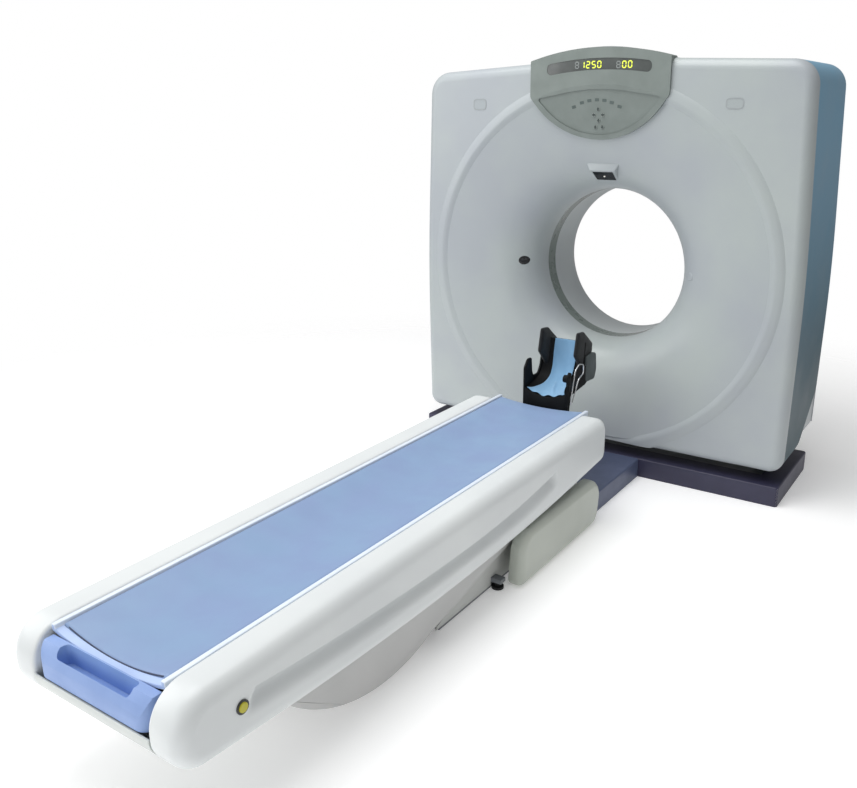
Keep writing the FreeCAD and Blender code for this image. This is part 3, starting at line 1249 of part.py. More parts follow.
def make_parallel_link():
    """Lower link that keeps the table level; its table pin sits loose."""
    start = (PIVOT[0], PIVOT[1] - LIFT_LINK_DROP)
    end = (CROWN[0], CROWN[1] - LIFT_LINK_DROP)
    bar = link_bar(start, end, 19.0, LINK_EYE_RADIUS, -LINK_HALF_WIDTH, LINK_HALF_WIDTH)
    hollow = prism_x(beam_profile(start, end, 12.0, LINK_EYE_RADIUS), -LINK_HALF_WIDTH + 7, LINK_HALF_WIDTH - 7)
    ends = [rod_x(start[0], start[1], LINK_EYE_RADIUS + 8, -BIG, BIG), rod_x(end[0], end[1], LINK_EYE_RADIUS + 8, -BIG, BIG)]
    bar = bar.cut(hollow.cut(ends))
    return bar.cut([rod_x(start[0], start[1], LINK_PIN_RADIUS + PIN_FIT, -BIG, BIG),
                    rod_x(end[0], end[1], LINK_PIN_RADIUS + OPEN_PIVOT_GAP, -BIG, BIG)])


def ram_axis():
    """Unit vector of the ram from its lower to its upper pin, and its length."""
    top = ram_top()
    run = Vector(0, top[0] - RAM_PIVOT_Y, top[1] - RAM_PIVOT_Z)
    length = run.Length
    run.normalize()
    return run, length


def ram_bar(x, radius, start, end):
    """Round bar along the ram's axis."""
    run, _ = ram_axis()
    foot = Vector(x, RAM_PIVOT_Y, RAM_PIVOT_Z)
    return Part.makeCylinder(radius, end - start, foot + run * start, run)


def make_rams():
    """The two hydraulic ram barrels with their lower eyes."""
    rams = []
    for side in (-1, 1):
        x = side * RAM_X
        eye = rod_x(RAM_PIVOT_Y, RAM_PIVOT_Z, 17.0, x - 14, x + 14)
        barrel = ram_bar(x, RAM_BODY_RADIUS, 24.0, RAM_BODY_LENGTH)
        neck = ram_bar(x, 13.0, 5.0, 30.0)
        body = fused([eye, neck, barrel]).cut(ram_bar(x, RAM_ROD_RADIUS + PIN_FIT, 60.0, RAM_BODY_LENGTH + 1))
        rams.append(body.cut(rod_x(RAM_PIVOT_Y, RAM_PIVOT_Z, RAM_PIN_RADIUS + PIN_FIT, x - 20, x + 20)))
    return rams


def make_ram_rods():
    """The two ram rods with the loose upper pins that push the arm."""
    _, length = ram_axis()
    top = ram_top()
    rods = []
    for side in (-1, 1):
        x = side * RAM_X
        rod = ram_bar(x, RAM_ROD_RADIUS, 66.0, length - 8)
        eye = rod_x(top[0], top[1], 17.0, x - 14, x + 14)
        pin = rod_x(top[0], top[1], RAM_PIN_RADIUS, x - 29, x + 29)
        rods.append(fused([rod, eye, pin]))
    return rods


# ---- table top
RAIL_BRACKETS = [BEAM_FOOT_Y + 40 + index * (BEAM_HEAD_Y - BEAM_FOOT_Y - 140) / 4 for index in range(5)]


def make_table_frame():
    """Steel frame of the table: two side beams, end channels and pivot lugs."""
    solids = []
    for side in (-1, 1):
        x0, x1 = sorted((side * BEAM_INNER_X, side * BEAM_OUTER_X))
        outer = box(x0, BEAM_FOOT_Y, BEAM_BOTTOM, x1, BEAM_HEAD_Y, BEAM_TOP)
        inner = box(x0 + 5, BEAM_FOOT_Y - 1, BEAM_BOTTOM + 5, x1 - 5, BEAM_HEAD_Y + 1, BEAM_TOP - 5)
        solids.append(outer.cut(inner))
        x0, x1 = sorted((side * BEAM_OUTER_X, side * RAIL_INNER_X))
        for y in RAIL_BRACKETS:
            solids.append(box(x0, y, BRACKET_BOTTOM, x1, y + BRACKET_LENGTH, BRACKET_TOP))
        x0, x1 = sorted((side * BEAM_INNER_X, side * TOWER_INNER_X))
        solids.append(prism_x(plain([(CROWN[0] - 110, BEAM_TOP), (CROWN[0] + 110, BEAM_TOP),
                                     (CROWN[0] + 44, CROWN[1] - 10), (CROWN[0] - 44, CROWN[1] - 10)]), x0, x1))
        solids.append(rod_x(CROWN[0], CROWN[1], ARM_EYE_RADIUS, x0, x1))
        gap = LINK_HALF_WIDTH + TOWER_GAP
        x0, x1 = sorted((side * gap, side * (gap + TOWER_WALL)))
        low = CROWN[1] - LIFT_LINK_DROP
        solids.append(prism_x(plain([(CROWN[0] - 20, low - 14), (CROWN[0] + 24, low), (CROWN[0] - 52, BEAM_TOP - 20),
                                     (CROWN[0] - 112, BEAM_TOP - 20), (CROWN[0] - 112, low + 60)]), x0, x1))
        solids.append(rod_x(CROWN[0], low, LINK_EYE_RADIUS, x0, x1))
    for y in (BEAM_FOOT_Y, -2500.0, CROWN[0] - 110, BEAM_HEAD_Y - 40):
        solids.append(box(-BEAM_OUTER_X, y, BEAM_TOP - 62, BEAM_OUTER_X, y + 40, BEAM_TOP - 20))
    return fused(solids + table_pins())


def table_pins():
    """Pins on the table that the arms and the lower link turn on, welded in."""
    pins = []
    for side in (-1, 1):
        x0, x1 = sorted((side * (ARM_INNER_X - 3), side * (BEAM_INNER_X + 4)))
        pins.append(rod_x(CROWN[0], CROWN[1], LIFT_PIN_RADIUS, x0, x1))
    reach = LINK_HALF_WIDTH + TOWER_GAP + TOWER_WALL + 3
    pins.append(rod_x(CROWN[0], CROWN[1] - LIFT_LINK_DROP, LINK_PIN_RADIUS, -reach, reach))
    return pins


def make_slide_strips():
    """Plain bearing strips that the cradle slides on."""
    strips = []
    for side in (-1, 1):
        x0, x1 = sorted((side * (BEAM_INNER_X + 6), side * (BEAM_OUTER_X - 2)))
        strips.append(box(x0, BEAM_FOOT_Y + 20, BEAM_TOP, x1, BEAM_HEAD_Y - 4, STRIP_TOP))
    return Part.makeCompound(strips)


def rail_block(grow_in, x_inner):
    """Rail form: plan with rounded outer corners, rounded long edges."""
    outer = RAIL_OUTER_X - grow_in
    y0, y1 = RAIL_FOOT_Y + grow_in, RAIL_HEAD_Y - grow_in
    z0, z1 = RAIL_BOTTOM + grow_in, RAIL_TOP - grow_in
    plan = [(x_inner, y0, 0), (outer, y0, RAIL_END_RADIUS - grow_in), (outer, y1, RAIL_END_RADIUS - grow_in),
            (x_inner, y1, 0)]
    block = prism_z(plan, z0, z1)
    rim = [edge for edge in block.Edges
           if edge.BoundBox.ZLength < 1e-3 and edge.BoundBox.XMax > x_inner + 1e-3]
    return block.makeFillet(RAIL_EDGE_RADIUS - grow_in, rim)


def make_rail():
    """Right side rail cover: hollow moulding with the long finger groove."""
    block = rail_block(0.0, RAIL_INNER_X)
    cavity = rail_block(RAIL_WALL, RAIL_INNER_X + RAIL_WALL)
    shell = block.cut(cavity.cut(groove_tool(RAIL_WALL))).cut(groove_tool(0.0))
    windows = []
    for y0, y1 in zip(RAIL_BRACKETS, RAIL_BRACKETS[1:]):
        windows.append(box(RAIL_INNER_X - 1, y0 + BRACKET_LENGTH + 10, RAIL_BOTTOM + 20,
                           RAIL_INNER_X + RAIL_WALL + 1, y1 - 10, RAIL_TOP - 50))
    hole = rod_x(BUTTON_Y, BUTTON_Z, BUTTON_RADIUS + BUTTON_FIT, RAIL_OUTER_X - 40, RAIL_OUTER_X + 20)
    return shell.cut(windows + [hole]).removeSplitter()


def groove_tool(grow):
    """Scoop of the groove: sharp upper edge, gentle run out below, round ends."""
    deep = RAIL_OUTER_X - GROOVE_DEPTH - grow
    section = plain([(RAIL_OUTER_X + 30, GROOVE_TOP + grow), (deep, GROOVE_TOP - 8 + grow),
                     (deep, GROOVE_TOP - 26 - grow), (RAIL_OUTER_X + 3 - grow, GROOVE_BOTTOM - 2 * grow),
                     (RAIL_OUTER_X + 30, GROOVE_BOTTOM - 2 * grow)])
    prism = prism_y(section, GROOVE_FOOT_Y - grow, GROOVE_HEAD_Y + grow)
    half = (GROOVE_TOP - GROOVE_BOTTOM) / 2
    outline = rectangle(GROOVE_FOOT_Y - grow, GROOVE_BOTTOM - 2 * grow, GROOVE_HEAD_Y + grow,
                        GROOVE_TOP + grow, half * 0.9)
    return prism.common(prism_x(outline, deep - 10, RAIL_OUTER_X + 40))


def make_button_ring():
    """Dark bezel round the release button."""
    return tube_x(BUTTON_Y, BUTTON_Z, BUTTON_RADIUS + BUTTON_FIT, BUTTON_RING_RADIUS,
                  RAIL_OUTER_X, RAIL_OUTER_X + BUTTON_TRAVEL)


def make_button():
    """Sprung release button with a rounded cap."""
    end = RAIL_OUTER_X + BUTTON_PROUD + BUTTON_TRAVEL
    button = rod_x(BUTTON_Y, BUTTON_Z, BUTTON_RADIUS, end - BUTTON_LENGTH, end)
    cap = [edge for edge in button.Edges if edge.BoundBox.XMin > end - 1e-3]
    return button.makeFillet(2.0, cap)


def skirt_section(inset):
    """Side outline of the keel-shaped skirt under the table."""
    low = SKIRT_LOW_Z + inset
    seam_rise = 0.264
    end_z = low + 10
    head_z = end_z + (SKIRT_HEAD_Y - SKIRT_CLOSED_END_Y) * seam_rise
    foot = SKIRT_FOOT_Y + 1.6 * inset
    return [(foot, SKIRT_TOP, 0.0), (foot + 232.0, low + 34, 330.0), (SKIRT_LOW_Y + 20, low - 5, 900.0),
            (SKIRT_CLOSED_END_Y, end_z, 60.0), (SKIRT_HEAD_Y, head_z, 0.0), (SKIRT_HEAD_Y, SKIRT_TOP, 0.0)]


def make_skirt():
    """Keel-shaped skirt: curved bottom at the foot, open below towards the base."""
    outer = prism_x(skirt_section(0.0), -SKIRT_HALF_WIDTH, SKIRT_HALF_WIDTH)
    inner_x = SKIRT_HALF_WIDTH - SKIRT_WALL
    inner = prism_x(skirt_section(SKIRT_WALL), -inner_x, inner_x)
    open_zone = box(-inner_x, SKIRT_CLOSED_END_Y, -10, inner_x, SKIRT_HEAD_Y + 10, SKIRT_TOP + 10)
    open_top = box(-inner_x, SKIRT_FOOT_Y + 40, SKIRT_TOP - 60, inner_x, SKIRT_HEAD_Y + 10, SKIRT_TOP + 10)
    skirt = outer.cut([inner, open_zone, open_top])
    straps = []
    for side in (-1, 1):
        for y in (-2480.0, -2000.0, -1600.0):
            x0, x1 = sorted((side * (BEAM_OUTER_X - 12), side * (SKIRT_HALF_WIDTH - 1)))
            straps.append(box(x0, y, SKIRT_TOP - 14, x1, y + 40, SKIRT_TOP - 10 + 4))
            x0, x1 = sorted((side * (BEAM_OUTER_X - 12), side * (BEAM_OUTER_X - 4)))
            straps.append(box(x0, y, SKIRT_TOP - 14, x1, y + 40, BEAM_BOTTOM))
    return fused([skirt] + straps)


def make_foot_handle():
    """Foot-end moulding: rounded nose, top hollowed like the cradle, wide finger pocket."""
    outline = [(HANDLE_HEAD_Y, HANDLE_BOTTOM, 0), (HANDLE_FOOT_Y, HANDLE_BOTTOM, HANDLE_RADIUS),
               (HANDLE_FOOT_Y + 8, CRADLE_EDGE_TOP - 4, 30.0), (HANDLE_HEAD_Y, CRADLE_EDGE_TOP - 4, 0)]
    block = prism_x(outline, -HANDLE_HALF_WIDTH, HANDLE_HALF_WIDTH)
    under = PAD_FLOOR_EDGE - CRADLE_SHELL - CRADLE_SAG - HANDLE_CLEARANCE
    block = block.cut(trough_prism(HANDLE_FOOT_Y - 10, HANDLE_HEAD_Y + 1, under, BIG / 4))
    pocket = prism_y(rectangle(-POCKET_HALF_WIDTH, POCKET_BOTTOM, POCKET_HALF_WIDTH, POCKET_TOP, 14.0),
                     HANDLE_FOOT_Y - 10, HANDLE_FOOT_Y + POCKET_DEPTH)
    return block.cut(pocket)


def trough_prism(y0, y1, low, high):
    """Solid above the cradle's underside arc, to clear the cradle."""
    edge = low + 30.0
    arc = Part.Arc(Vector(-CRADLE_HALF_WIDTH - 4, y0, edge), Vector(0, y0, low), Vector(CRADLE_HALF_WIDTH + 4, y0, edge))
    up = [Part.makeLine(Vector(CRADLE_HALF_WIDTH + 4, y0, edge), Vector(CRADLE_HALF_WIDTH + 4, y0, high)),
          Part.makeLine(Vector(CRADLE_HALF_WIDTH + 4, y0, high), Vector(-CRADLE_HALF_WIDTH - 4, y0, high)),
          Part.makeLine(Vector(-CRADLE_HALF_WIDTH - 4, y0, high), Vector(-CRADLE_HALF_WIDTH - 4, y0, edge))]
    return Part.Face(Part.Wire([arc.toShape()] + up)).extrude(Vector(0, y1 - y0, 0))


def make_under_pan():
    """Pale pan under the foot end of the table, between the rails."""
    outer = [(BEAM_FOOT_Y - 62, HANDLE_BOTTOM - 2, 0), (BEAM_FOOT_Y - 34, BEAM_BOTTOM - 8, 40.0),
             (-2560.0, BEAM_BOTTOM - 8, 0), (-2560.0, BEAM_BOTTOM, 0),
             (BEAM_FOOT_Y - 32, BEAM_BOTTOM - 0, 34.0), (BEAM_FOOT_Y - 54, HANDLE_BOTTOM - 2, 0)]
    return prism_x(outer, -RAIL_INNER_X + 1, RAIL_INNER_X - 1)


# ---- cradle and what lies on it
def sag_strip(half, edge, centre, thickness, y0, y1):
    """Bent slab: top arc from edge height to centre height, of even thickness."""
    top = Part.Arc(Vector(-half, y0, edge), Vector(0, y0, centre), Vector(half, y0, edge)).toShape()
    low = Part.Arc(Vector(half, y0, edge - thickness), Vector(0, y0, centre - thickness),
                   Vector(-half, y0, edge - thickness)).toShape()
    sides = [Part.makeLine(Vector(half, y0, edge), Vector(half, y0, edge - thickness)),
             Part.makeLine(Vector(-half, y0, edge - thickness), Vector(-half, y0, edge))]
    return Part.Face(Part.Wire([top, sides[0], low, sides[1]])).extrude(Vector(0, y1 - y0, 0))


PAD_FLOOR_EDGE = PAD_EDGE_TOP - PAD_THICKNESS


def make_cradle():
    """Trough-shaped cradle shell with raised edges and a stepped foot end."""
    y0, y1 = CRADLE_FOOT_Y, CRADLE_HEAD_Y
    shell = sag_strip(PAD_HALF_WIDTH + 3, PAD_FLOOR_EDGE, PAD_FLOOR_EDGE - CRADLE_SAG, CRADLE_SHELL, y0, y1)
    solids = [shell]
    for side in (-1, 1):
        x0, x1 = sorted((side * (PAD_HALF_WIDTH + 1), side * CRADLE_HALF_WIDTH))
        lip = rectangle(x0, PAD_FLOOR_EDGE - CRADLE_SHELL, x1, CRADLE_EDGE_TOP, 3.0)
        solids.append(prism_y(lip, y0, y1))
        x0, x1 = sorted((side * (BEAM_INNER_X + 8), side * (CRADLE_HALF_WIDTH - 4)))
        runner = box(x0, BEAM_FOOT_Y + 2, STRIP_TOP + 0.3, x1, y1, PAD_FLOOR_EDGE - CRADLE_SHELL + 2)
        solids.append(runner)
    rise = 8.0
    foot_end = sag_strip(PAD_HALF_WIDTH + 3, PAD_FLOOR_EDGE + rise, PAD_FLOOR_EDGE + rise - CRADLE_SAG,
                         rise + 2, y0, PAD_FOOT_Y - 0.5)
    return fused(solids + [foot_end])


def make_pad():
    """Foam pad that follows the cradle's trough."""
    pad = sag_strip(PAD_HALF_WIDTH, PAD_EDGE_TOP, PAD_EDGE_TOP - CRADLE_SAG, PAD_THICKNESS, PAD_FOOT_Y, PAD_HEAD_Y)
    corners = [edge for edge in pad.Edges if edge.BoundBox.XLength < 1e-3 and edge.BoundBox.YLength < 1e-3]
    return pad.makeFillet(PAD_CORNER_RADIUS, corners)


def holder_spine(offset):
    """Side curve of the head holder's bed, offset inwards by offset."""
    far = HOLDER_FAR_Y - offset
    return [(CRADLE_HEAD_Y, HOLDER_BOTTOM + offset), (far - 38.0, HOLDER_BOTTOM + offset), (far, HOLDER_BACK_TOP)]


def make_head_holder():
    """Head holder: bed that curves up into a back rest, with a cheek each side."""
    near, far = holder_spine(0.0), holder_spine(HOLDER_WALL)
    bed_outline = [(near[0][0], near[0][1], 0), (near[1][0], near[1][1], 70.0), (near[2][0], near[2][1], 0),
                   (far[2][0], far[2][1], 0), (far[1][0], far[1][1], 60.0), (far[0][0], far[0][1], 0)]
    bed = prism_x(bed_outline, -HOLDER_HALF_WIDTH, HOLDER_HALF_WIDTH)
    top = HOLDER_BACK_TOP
    y0, y1 = CRADLE_HEAD_Y, HOLDER_FAR_Y
    cheek_outline = [(y0, HOLDER_BOTTOM, 0), (y1 - 38, HOLDER_BOTTOM, 66.0), (y1 - 1, top - 6, 6.0),
                     (y1 - 92, top - 20, 14.0), (y1 - 104, top - 148, 16.0), (y0 + 52, top - 148, 12.0),
                     (y0 + 46, top - 62, 14.0), (y0 + 6, top - 74, 14.0), (y0, top - 110, 8.0)]
    cheek = prism_x(cheek_outline, HOLDER_HALF_WIDTH - HOLDER_WALL, HOLDER_HALF_WIDTH)
    holder = fused([bed, cheek, mirrored(cheek)])
    hole = rod_x(CLAMP_Y, CLAMP_Z, CLAMP_SHAFT_RADIUS, HOLDER_HALF_WIDTH - HOLDER_WALL - 1, HOLDER_HALF_WIDTH + 1)
    return holder.cut(hole)


def make_wings():
    """Two firm foam wings that stand up inside the cheeks."""
    y1 = HOLDER_FAR_Y
    outline = [(y1 - 96, HOLDER_BACK_TOP - 90, 10.0), (y1 - 40, HOLDER_BACK_TOP - 118, 12.0),
               (y1 - 6, WING_TOP - 22, 16.0), (y1 - 30, WING_TOP, 12.0), (y1 - 84, WING_TOP - 12, 14.0)]
    x1 = HOLDER_HALF_WIDTH - HOLDER_WALL
    wing = prism_x(outline, x1 - WING_THICKNESS, x1)
    wing = wing.cut(bed_zone())
    return Part.makeCompound([wing, mirrored(wing)])


def bed_zone():
    """Space behind and below the holder's bed surface."""
    far = holder_spine(HOLDER_WALL)
    outline = [(far[0][0] - 10, far[0][1], 0), (far[1][0], far[1][1], 60.0), (far[2][0], far[2][1], 0),
               (far[2][0] + 6, WING_TOP + 60, 0), (far[2][0] + 200, WING_TOP + 60, 0), (far[2][0] + 200, 300.0, 0),
               (far[0][0] - 10, 300.0, 0)]
    return prism_x(outline, -HOLDER_HALF_WIDTH - 20, HOLDER_HALF_WIDTH + 20)


def make_cloth():
    """Folded cloth laid along the holder's bed."""
    low, high = holder_spine(HOLDER_WALL), holder_spine(HOLDER_WALL + CLOTH_THICKNESS)
    start = CRADLE_HEAD_Y + 10
    outline = [(start, low[0][1], 0), (low[1][0], low[1][1], 60.0), (low[2][0], low[2][1] - 4, 0),
               (high[2][0], high[2][1] - 4, 0), (high[1][0], high[1][1], 56.0), (start, high[0][1], 0)]
    return prism_x(outline, -CLOTH_HALF_WIDTH, CLOTH_HALF_WIDTH).cut(bed_zone())


def bent_loop(corners, x, radius):
    """Closed loop of round wire along a rounded (y, z) outline."""
    path = rounded_wire(corners, at_x(x))
    start = path.Edges[0].Vertexes[0].Point
    tangent = path.Edges[0].tangentAt(path.Edges[0].FirstParameter)
    section = Part.Wire([Part.makeCircle(radius, start, tangent)])
    return path.makePipeShell([section], True, False)


def make_head_clamp():
    """Clamp of the right cheek: bent wire loop, its shaft and the locking knob inside."""
    y, z = CLAMP_Y, CLAMP_Z
    inner = HOLDER_HALF_WIDTH - HOLDER_WALL
    x = HOLDER_HALF_WIDTH + 2 * CLAMP_WIRE
    loop = bent_loop(rectangle(y - CLAMP_HALF_LENGTH, z - CLAMP_DROP, y + CLAMP_HALF_LENGTH, z + CLAMP_RISE, 9.0),
                     x, CLAMP_WIRE)
    bar = rod_y(x, z, CLAMP_WIRE * 0.8, y - CLAMP_HALF_LENGTH, y + CLAMP_HALF_LENGTH)
    shaft = rod_x(y, z, CLAMP_SHAFT_RADIUS, inner - CLAMP_KNOB_LENGTH + 1, x)
    knob = rod_x(y, z, CLAMP_KNOB_RADIUS, inner - CLAMP_KNOB_LENGTH, inner)
    return fused([knob, shaft, bar, loop])


def main():
    os.makedirs(OUT_DIR, exist_ok=True)
    save_gantry("front_cover", make_front_cover())
    side_cover = make_side_cover()
    save_gantry("side_cover_right", side_cover)
    save_gantry("side_cover_left", mirrored(side_cover))
    save_gantry("rear_cover", make_rear_cover())
    save_gantry("bore_window", make_bore_window())
    save_gantry("console_housing", make_console())
    save_gantry("display_window", make_display())
    save_gantry("light_windows", make_light_windows())
    for name, (x, z) in KEY_PLACES.items():
        save_gantry(name, make_key(x, z))
    save_gantry("tilt_frame", make_tilt_frame())
    save_gantry("bearing_race", make_bearing_race())
    save_gantry("sector_gear", make_sector_gear())
    save_gantry("spin_motor", make_spin_motor())
    save_gantry("drive_belt", make_belt())
    save_gantry("drive_pulley", make_drive_pulley())
    save_gantry("rotor_drum", make_rotor_drum())
    save_gantry("xray_tube", make_xray_tube())
    save_gantry("collimator", make_collimator())
    save_gantry("detector", make_detector())
    save_gantry("voltage_tank", make_voltage_tank())
    save_gantry("heat_exchanger", make_heat_exchanger())
    save_gantry("counterweight", make_counterweight())
    save_gantry("slip_ring", make_slip_ring())
    save_gantry("stanchion_right", make_stanchion())
    save_gantry("stanchion_left", make_left_stanchion())
    save_gantry("trunnion_bearings", make_trunnion_bearings())
    save_gantry("tilt_motor", make_tilt_motor())
    save_gantry("tilt_pinion", make_tilt_pinion())
    save("base_frame", make_base_frame())
    save("base_cover", make_base_cover())
    save("bridge_cover", make_bridge_cover())
    save("table_base", make_table_base())
    save("base_inner_panels", make_inner_panels())
    side = make_base_side_cover()
    save("base_side_cover_right", side)
    save("base_side_cover_left", mirrored(side))
    save("levelling_feet", make_feet())
    save("lift_arm", make_lift_arm())
    save("parallel_link", make_parallel_link())
    save("lift_rams", Part.makeCompound(make_rams()))
    save("ram_rods", Part.makeCompound(make_ram_rods()))
    save("table_frame", make_table_frame())
    save("slide_strips", make_slide_strips())
    rail = make_rail()
    save("table_rail_right", rail)
    save("table_rail_left", mirrored(rail_without_button(rail)))
    save("table_skirt", make_skirt())
    save("foot_handle", make_foot_handle())
    save("under_pan", make_under_pan())
    save("button_ring", make_button_ring())
    save("release_button", make_button())
    save("cradle", make_cradle())
    save("cradle_pad", make_pad())
    save("head_holder", make_head_holder())
    save("head_wings", make_wings())
    save("head_cloth", make_cloth())
    save("head_clamp", make_head_clamp())


def rail_without_button(rail):
    """Left rail: the same moulding with no button hole."""
    plug = rod_x(BUTTON_Y, BUTTON_Z, BUTTON_RADIUS + BUTTON_FIT, RAIL_OUTER_X - RAIL_WALL, RAIL_OUTER_X)
    return rail.fuse(plug).removeSplitter()


main()
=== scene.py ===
"""Looks of a CT scanner: its covers, console, table, mattress and head rest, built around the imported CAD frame."""

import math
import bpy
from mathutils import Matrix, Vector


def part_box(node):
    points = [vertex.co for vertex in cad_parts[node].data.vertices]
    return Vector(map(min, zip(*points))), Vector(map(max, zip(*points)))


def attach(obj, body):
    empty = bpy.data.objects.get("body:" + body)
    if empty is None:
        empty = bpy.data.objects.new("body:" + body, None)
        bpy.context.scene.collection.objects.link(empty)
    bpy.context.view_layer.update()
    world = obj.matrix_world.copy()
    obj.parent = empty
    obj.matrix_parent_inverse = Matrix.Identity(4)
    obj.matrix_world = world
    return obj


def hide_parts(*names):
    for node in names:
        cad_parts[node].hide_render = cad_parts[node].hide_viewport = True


bl_info = {
    "name": "CT Scanner Finish",
    "version": (1, 0, 0),
    "blender": (4, 5, 0),
    "location": "3D View > Sidebar > Scanner",
    "description": "Dresses the packed CT scanner and sets its studio",
    "category": "Object",
}

import bmesh
import bpy
import numpy as np
from mathutils import Matrix, Vector

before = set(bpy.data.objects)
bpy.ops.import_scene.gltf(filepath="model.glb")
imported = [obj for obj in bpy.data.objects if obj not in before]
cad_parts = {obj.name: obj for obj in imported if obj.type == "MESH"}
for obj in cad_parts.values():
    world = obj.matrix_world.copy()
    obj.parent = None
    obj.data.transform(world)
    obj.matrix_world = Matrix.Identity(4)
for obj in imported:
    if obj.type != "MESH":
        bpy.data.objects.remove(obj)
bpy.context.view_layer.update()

# All lengths are metres. The isocentre's height, the y of the front cover's flat face, and the (radius, y) poles of the
# dish's cubic profile, from the bore to the dish's outer edge.
ISO = 0.920
FACE = -0.304
DISH_POLES = np.array([(0.350, -0.037), (0.350, -0.190), (0.467, -0.2576), (0.797, FACE)])

# The console stands proud of the dish, its keypad is sunk into it, and the keys stand proud of the keypad.
KEYPAD_LIFT = 0.012 - 0.005
KEY_PROUD = 0.0018
# Each key's x, its height above the isocentre and the direction of its arrow in degrees.
KEY_PLACES = {
    "key_up": (0.0, 0.698, 90.0),
    "key_left": (-0.021, 0.674, 180.0),
    "key_right": (0.021, 0.674, 0.0),
    "key_down": (0.0, 0.651, -90.0),
    "key_lower_left": (-0.016, 0.624, 90.0),
    "key_lower_right": (0.016, 0.624, -90.0),
}
# Each small membrane key's x, its height above the isocentre and its tilt in degrees.
MEMBRANE_KEYS = ((-0.112, 0.707, 14), (-0.074, 0.724, 10), (-0.039, 0.732, 5), (-0.004, 0.735, 0), (0.030, 0.732, -5),
                 (0.063, 0.723, -10), (0.098, 0.706, -14))
# Each service plate's x, its height above the isocentre, its half width and its half height.
SERVICE_PLATES = ((-0.585, 0.724, 0.034, 0.024), (0.578, 0.712, 0.035, 0.021))

# Section of the dish's raised ring: its inner edge in the dish, a crest and a long outer slope, as (radius, lift).
RING_SECTION = ((0.766, -0.004), (0.776, 0.0006), (0.789, 0.0045), (0.797, 0.0066), (0.804, 0.0064), (0.818, 0.0036),
                (0.836, 0.0002), (0.842, -0.004))
COVER_FOOT = 0.144
# Corners of the top light's hood: half width, radius at which the dish's depth is read, distance behind the dish
# there, and height above the isocentre. The second and third bound its lower face.
HOOD_CORNERS = ((0.080, 0.478, 0.003, 0.472), (0.060, 0.438, -0.027, 0.438), (0.057, 0.390, 0.003, 0.386),
                (0.068, 0.443, 0.010, 0.438))
HOOD_FACES = [(0, 4, 5, 1), (1, 5, 6, 2), (0, 1, 3), (1, 2, 3), (4, 7, 5), (5, 7, 6), (0, 3, 7, 4), (3, 2, 6, 7)]

# Side outline of a rail as (y, z, corner radius), the x of its two faces and its rim's radius.
RAIL_OUTLINE = [(-2.946, 0.247, 0.076), (-1.856, 0.155, 10.2), (-0.766, 0.247, 0.046), (-0.766, 0.431, 0.046),
                (-2.946, 0.431, 0.095)]
RAIL_OUTER, RAIL_INNER, RAIL_RIM = 0.318, 0.215, 0.042
# Arc under the skirt: its middle (y, z) and its radius; half the skirt's width and its wall.
KEEL_MIDDLE, KEEL_RADIUS = np.array([-2.150, 0.615]), 0.600
SKIRT_HALF, SKIRT_WALL = 0.256, 0.008

# Side view (y, z) of the head holder's bed from its front lip to the top of its back, and half the bed's width.
HOLDER_CURVE = np.array([(-0.709, 0.447), (-0.672, 0.452), (-0.622, 0.462), (-0.567, 0.482), (-0.538, 0.530),
                         (-0.523, 0.600), (-0.515, 0.657)])
HOLDER_HALF = 0.098
# Side outlines (y, z) of the holder's plates, of its clamp's wire and of the foam wings.
LEFT_CHEEK = [(-0.717, 0.386), (-0.717, 0.560), (-0.690, 0.594), (-0.658, 0.594), (-0.650, 0.528), (-0.637, 0.508),
              (-0.594, 0.508), (-0.572, 0.540), (-0.557, 0.600), (-0.482, 0.606), (-0.448, 0.590), (-0.442, 0.496),
              (-0.472, 0.470), (-0.582, 0.452), (-0.672, 0.436), (-0.682, 0.386)]
RIGHT_POST = [(-0.717, 0.386), (-0.717, 0.552), (-0.700, 0.568), (-0.682, 0.560), (-0.686, 0.470), (-0.694, 0.386)]
RIGHT_SILL = [(-0.702, 0.455), (-0.694, 0.484), (-0.582, 0.500), (-0.542, 0.560), (-0.482, 0.500), (-0.542, 0.474),
              (-0.622, 0.466)]
BRACKET = [(-0.542, 0.484), (-0.542, 0.598), (-0.482, 0.606), (-0.444, 0.596), (-0.434, 0.520), (-0.452, 0.478)]
CLAMP_BEND = [(-0.698, 0.425), (-0.658, 0.566), (-0.622, 0.586), (-0.580, 0.574), (-0.578, 0.536), (-0.622, 0.520),
              (-0.682, 0.425)]
WING_OUTLINE = [(-0.620, 0.616), (-0.556, 0.548), (-0.548, 0.488), (-0.504, 0.500), (-0.480, 0.568), (-0.456, 0.604),
                (-0.452, 0.640), (-0.543, 0.708), (-0.598, 0.713)]

# Bars of the seven-segment figures that the readout shows.
SEGMENTS = {"0": "abcdef", "1": "bc", "2": "abdeg", "5": "acdfg", "8": "abcdefg"}

# Each light's power in watts, its side, its place and the point that it faces.
LIGHTS = {
    "overhead_panel": (205.0, 4.0, (-0.6, -1.8, 5.2), (0.0, -1.4, 0.0)),
    "left_panel": (92.0, 3.6, (-3.6, -3.6, 2.8), (0.0, -0.4, 0.8)),
    "low_panel": (15.0, 1.6, (0.2, -5.0, 0.7), (0.0, -1.6, 0.35)),
}
# The camera that takes the photo's view: its place, its yaw, pitch and roll in radians, its focal length in widths of
# the picture, and the shift of its lens.
CAMERA_PLACE = (1.633861, -3.877962, 1.610076)
CAMERA_TURN = (0.6, 0.303, -0.011)
CAMERA_FOCUS = 870.705 / 857.0
CAMERA_SHIFT = (-0.016235, -0.010665)
WHITE = (1.0, 1.0, 1.0, 1.0)


# ---- colours, nodes and finishes


